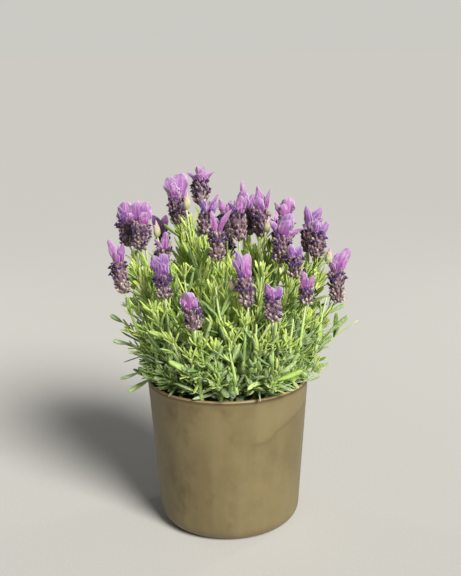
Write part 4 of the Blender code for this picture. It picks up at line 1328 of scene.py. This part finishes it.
def plum_scale():
    """The scales between the calyces: dull plum with a green base and dark veins."""
    scale = Nodes("plum_scale")
    along = scale.stored("along")
    tone = scale.stored("tone")
    grain = scale.noise(scale.place(), 900, 3.0)
    plum = scale.ramp(along, (0.0, SCALE_ROOT), (0.35, SCALE_PLUM), (1.0, SCALE_TIP))
    body = scale.mix(scale.grey(tone, 0.3, 0.9), plum, SCALE_BROWN)
    scale.colour(scale.mix(scale.grey(grain, 0.5, 0.85), body, SCALE_DARK))
    scale.rough(grain, 0.55, 0.8)
    scale.bump(grain, 0.5, 0.0003)
    scale.steady(Sheen_Weight=0.5, Sheen_Roughness=0.4)
    return scale.material


def white_down():
    """The short hairs that frost the whole spike."""
    down = Nodes("white_down")
    grain = down.noise(down.place(), 700, 2.0)
    down.colour(down.ramp(grain, (0.3, DOWN_SHADED), (0.7, DOWN_WHITE)))
    down.rough(grain, 0.6, 0.8)
    return down.material


HEAD_LOOKS = [mauve_bract(), downy_calyx(), indigo_petal(), plum_scale(), white_down()]
BRACT, CALYX, PETAL, SCALE, DOWN = range(5)


def spike_width(share):
    """Half width of the spike under its calyx teeth: slim at the foot, fullest past the middle."""
    return (4.4 + 3.6 * math.sin(math.pi * min(1.0, share * 0.74 + 0.08))) * MM


def grow_calyx(heap, centre, half, axis, out, tilt, share, open_chance, dice):
    """One calyx with its hairs, and now and then an open flower in its mouth."""
    way = axis * math.cos(tilt) + out * math.sin(tilt)
    tone = limited(dice.gauss(0.78 - 0.62 * share, 0.32))
    base = centre + out * half * 0.60 + axis * dice.uniform(-1.4, 1.4) * MM
    length = dice.uniform(*CALYX_LENGTHS) * MM
    calyx(heap, base, way, length, dice.uniform(*CALYX_WIDTHS) * MM, tone, CALYX)
    if dice.random() < open_chance:
        size = dice.uniform(*FLOWER_SIZES) * MM
        corolla(heap, base + way * 3.2 * MM, way, size, dice.random(), PETAL)
    for strand in range(4):
        spray = unit(way + np.array([dice.gauss(0, 0.5), dice.gauss(0, 0.5), dice.gauss(0, 0.4)]))
        start = base + way * dice.uniform(2.0, 4.8) * MM + spray * 0.6 * MM
        hair(heap, start, spray, dice.uniform(*HAIR_LENGTHS) * MM, DOWN)


def make_head(name, seed):
    """One flower head on its stalk: core, whorls of scales and calyces, and the tuft of bracts."""
    spike, stoutness, *bracts = HEADS[name]
    dice = random.Random(seed)
    foot = foot_of(name)
    axis = lean_of(name)
    length = spike * MM
    heap = Heap("tone", "along", "across")
    shares = np.linspace(0, 1, 9)
    core = [foot + axis * (0.5 * MM + (length - 2 * MM) * share) for share in shares]
    inner = [stoutness * spike_width(s) * 0.62 * (1 - 0.3 * (s > 0.9)) for s in shares]
    heap.loft(tube(core, inner), SCALE, tone=0.2, along=0.3)
    rows = max(5, round(length / WHORL_GAP))
    open_rows = {dice.randrange(1, rows - 1), dice.randrange(1, rows - 1), dice.randrange(rows // 2, rows)}
    for row in range(rows):
        share = (row + 0.35) / rows
        centre = foot + axis * length * share * 0.90
        half = spike_width(share) * stoutness
        ranks = 4 if stoutness < 1.2 else 5
        open_chance = OPEN_IN_FLOWERING_WHORL if row in open_rows else OPEN_ELSEWHERE
        for rank in range(ranks):
            turn = math.tau * (rank + 0.5 * (row % 2) + 0.5) / ranks + dice.gauss(0, 0.16)
            out = around(axis, turn)
            base = centre + out * half * 0.55 - axis * 1.2 * MM
            scale_length = dice.uniform(*SCALE_LENGTHS) * MM
            scale_width = dice.uniform(*SCALE_WIDTHS) * MM
            tone = dice.random() * (1.2 - share)
            scale_leaf(heap, base, out, axis, scale_length, scale_width, tone, SCALE)
            for pair in (-0.34, 0.34):
                out = around(axis, turn + pair + dice.gauss(0, 0.14))
                tilt = math.radians(dice.uniform(26, 62) - 20 * share)
                grow_calyx(heap, centre, half, axis, out, tilt, share, open_chance, dice)
    top = foot + axis * length * 0.94
    for bract in bracts:
        size, wide, lean_to, lean, look_to, pointed = bract
        start = top + heading(lean_to) * 1.6 * MM + heading(look_to) * 1.4 * MM - axis * 3 * MM
        grow_bract(heap, start, axis, bract, dice)
        behind = (size * dice.uniform(0.62, 0.85), wide * dice.uniform(0.7, 0.95),
                  lean_to + dice.uniform(-50, 50), lean * dice.uniform(0.3, 1.3),
                  look_to + dice.uniform(-35, 35), dice.uniform(0.0, 0.5))
        start = top + heading(lean_to) * 0.8 * MM - heading(look_to) * 1.2 * MM - axis * 3 * MM
        grow_bract(heap, start, axis, behind, dice)
    piece = heap.piece(name + "_spike_and_bracts", HEAD_LOOKS)
    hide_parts(name)


for number, name in enumerate(HEADS):
    make_head(name, 500 + number)

# ---------------------------------------------------------------------------------------------
# Flower buds: young heads still shut, each a smooth cream-green egg of overlapping scales that
# draws out into a twisted pinkish tip. They grew on their stalks like the open heads.
BUDS = [name for name in sorted(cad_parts) if name.startswith("flower_bud_")]
BUD_HALF_WIDTH = 3.5 * MM
# From foot to tip: share of the bud's length, and share of its half width.
BUD_SHAPE = (
    (0.0, 0.22), (0.08, 0.55), (0.22, 0.92), (0.38, 1.0), (0.54, 0.88),
    (0.68, 0.58), (0.82, 0.34), (0.93, 0.24), (1.0, 0.08),
)
BUD_ROOT = (0.42, 0.50, 0.20)
BUD_CREAM = (0.62, 0.60, 0.36)
BUD_BLUSH = (0.66, 0.52, 0.46)
BUD_PINK = (0.62, 0.38, 0.56)
BUD_SHADE = (0.45, 0.34, 0.26)


def bud_scale():
    """Cream-green bud scale, flushed pink towards the tip and downy all over."""
    scale = Nodes("bud_scale")
    along = scale.stored("along")
    grain = scale.noise(scale.place(), 1000, 3.0)
    body = scale.ramp(along, (0.0, BUD_ROOT), (0.45, BUD_CREAM), (0.75, BUD_BLUSH), (1.0, BUD_PINK))
    scale.colour(scale.mix(scale.grey(grain, 0.5, 0.8), body, BUD_SHADE))
    scale.rough(grain, 0.6, 0.85)
    scale.bump(grain, 0.5, 0.0003)
    scale.steady(Sheen_Weight=0.5, Sheen_Roughness=0.4, Subsurface_Weight=0.15, Subsurface_Scale=0.001)
    return scale.material


BUD_LOOKS = [bud_scale()]


def make_bud(name, seed):
    """A twisted four-lobed egg with four whorls of scales lying on it."""
    dice = random.Random(seed)
    points = node_points(name)
    foot = foot_of(name)
    tip = points[points[:, 2] > points[:, 2].max() - 1 * MM].mean(axis=0)
    axis = unit(tip - foot)
    length = np.linalg.norm(tip - foot)
    heap = Heap("along", "tone")
    turns, outward = rounds(axis, 0.0, 16)
    rings = []
    for share, swell in BUD_SHAPE:
        lobes = 1 + 0.09 * np.cos(4 * (turns + share * 2.2))
        reach = (BUD_HALF_WIDTH * swell * lobes)[:, None]
        sway = outward[0] * 0.6 * MM * math.sin(share * 3)
        rings.append(foot + axis * length * share + sway + reach * outward)
    heap.loft(np.array(rings), 0, along=np.array([row[0] for row in BUD_SHAPE])[:, None])
    for row in range(4):
        share = 0.04 + 0.13 * row
        for rank in range(4):
            turn = rank * math.pi / 2 + row * math.pi / 4 + dice.gauss(0, 0.08)
            out = around(axis, turn)
            wide = (3.0 + 0.5 * math.sin(math.pi * share * 1.6)) * MM
            base = foot + axis * length * share + out * wide * (0.35 + 0.25 * min(1, row))
            scale_leaf(heap, base, out, axis, 5.5 * MM, 4.4 * MM, 0.5, 0)
    piece = heap.piece(name + "_scales", BUD_LOOKS)
    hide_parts(name)


for number, name in enumerate(BUDS):
    make_bud(name, 700 + number)

# ---------------------------------------------------------------------------------------------
# Studio: a pale paper floor that runs far back, one broad soft light high in front on the right,
# and two strip lamps behind that draw the thin lines of light down the pot's sides. The air gives
# a weak even fill, and the camera looks down a little on the pot.
FLOOR_RADIUS = 30.0
PAPER_DIM = (0.60, 0.595, 0.58)
PAPER = (0.64, 0.635, 0.62)
DAYLIGHT = (1.0, 0.97, 0.91)
LEFT_GLOW = (1.0, 0.95, 0.84)
RIGHT_GLOW = (1.0, 0.96, 0.88)
AIR = (0.98, 0.99, 1.0, 1.0)
FAR_PAPER = (0.600, 0.588, 0.548, 1.0)


def paper():
    """Matt pale paper with a very slight tooth."""
    sheet = Nodes("pale_paper")
    tooth = sheet.noise(sheet.place(), 400, 3.0)
    sheet.colour(sheet.ramp(tooth, (0.3, PAPER_DIM), (0.7, PAPER)))
    sheet.rough(tooth, 0.85, 0.95)
    sheet.bump(tooth, 0.1, 0.0003)
    sheet.steady(Specular_IOR_Level=0.0)
    return sheet.material


def make_floor():
    turns = [math.tau * side / 64 for side in range(64)]
    edge = [(FLOOR_RADIUS * math.cos(turn), FLOOR_RADIUS * math.sin(turn), 0.0) for turn in turns]
    mesh = bpy.data.meshes.new("paper_floor")
    mesh.from_pydata(edge, [], [list(range(64))])
    mesh.materials.append(paper())
    floor = bpy.data.objects.new("paper_floor", mesh)
    bpy.context.scene.collection.objects.link(floor)


def aim(light, place, target):
    light.location = place
    light.rotation_euler = (Vector(target) - Vector(place)).to_track_quat("-Z", "Y").to_euler()
    bpy.context.scene.collection.objects.link(light)


def lamp(name, place, target, width, height, power, colour):
    data = bpy.data.lights.new(name, "AREA")
    data.shape = "RECTANGLE"
    data.size = width
    data.size_y = height
    data.energy = power
    data.color = colour
    aim(bpy.data.objects.new(name, data), place, target)


make_floor()
MIDDLE = (0.0, 0.0, 0.18)
key = bpy.data.lights.new("soft_key", "SUN")
key.angle = math.radians(24)
key.energy = 4.6
key.color = DAYLIGHT
aim(bpy.data.objects.new("soft_key", key), (0.66, -1.0, 1.05), MIDDLE)
lamp("left_strip", (-0.9, 0.75, 0.7), MIDDLE, 0.10, 1.0, 0.9, LEFT_GLOW)
lamp("right_strip", (1.0, 0.7, 0.8), MIDDLE, 0.10, 1.0, 1.6, RIGHT_GLOW)

world = bpy.data.worlds.new("studio_air")
world.use_nodes = True
air = world.node_tree
soft = air.nodes["Background"]
soft.inputs["Color"].default_value = AIR
soft.inputs["Strength"].default_value = 0.13
backdrop = air.nodes.new("ShaderNodeBackground")
backdrop.inputs["Color"].default_value = FAR_PAPER
seen = air.nodes.new("ShaderNodeLightPath")
either = air.nodes.new("ShaderNodeMixShader")
air.links.new(seen.outputs["Is Camera Ray"], either.inputs["Fac"])
air.links.new(soft.outputs["Background"], either.inputs[1])
air.links.new(backdrop.outputs["Background"], either.inputs[2])
air.links.new(either.outputs["Shader"], air.nodes["World Output"].inputs["Surface"])
bpy.context.scene.world = world

CAMERA_AIM = Vector((0.0, 0.0, 0.150))
CAMERA_DISTANCE = 1.0
CAMERA_ABOVE = math.radians(19.25)
CAMERA_PITCH = math.radians(14.23)
CAMERA_YAW = math.radians(0.26)
CAMERA_ROLL = math.radians(-1.04)
camera_data = bpy.data.cameras.new("camera")
camera_data.lens = 61.7
camera_data.sensor_width = 36.0
camera = bpy.data.objects.new("camera", camera_data)
back = Vector((0.0, -math.cos(CAMERA_ABOVE), math.sin(CAMERA_ABOVE)))
camera.location = CAMERA_AIM + back * CAMERA_DISTANCE
along = math.cos(CAMERA_PITCH)
down = -math.sin(CAMERA_PITCH)
ahead = Vector((math.sin(CAMERA_YAW) * along, math.cos(CAMERA_YAW) * along, down))
level = ahead.to_track_quat("-Z", "Y").to_matrix()
camera.rotation_euler = (level @ Matrix.Rotation(CAMERA_ROLL, 3, "Z")).to_euler()
bpy.context.scene.collection.objects.link(camera)
bpy.context.scene.camera = camera
bpy.context.scene.view_settings.view_transform = "Standard"
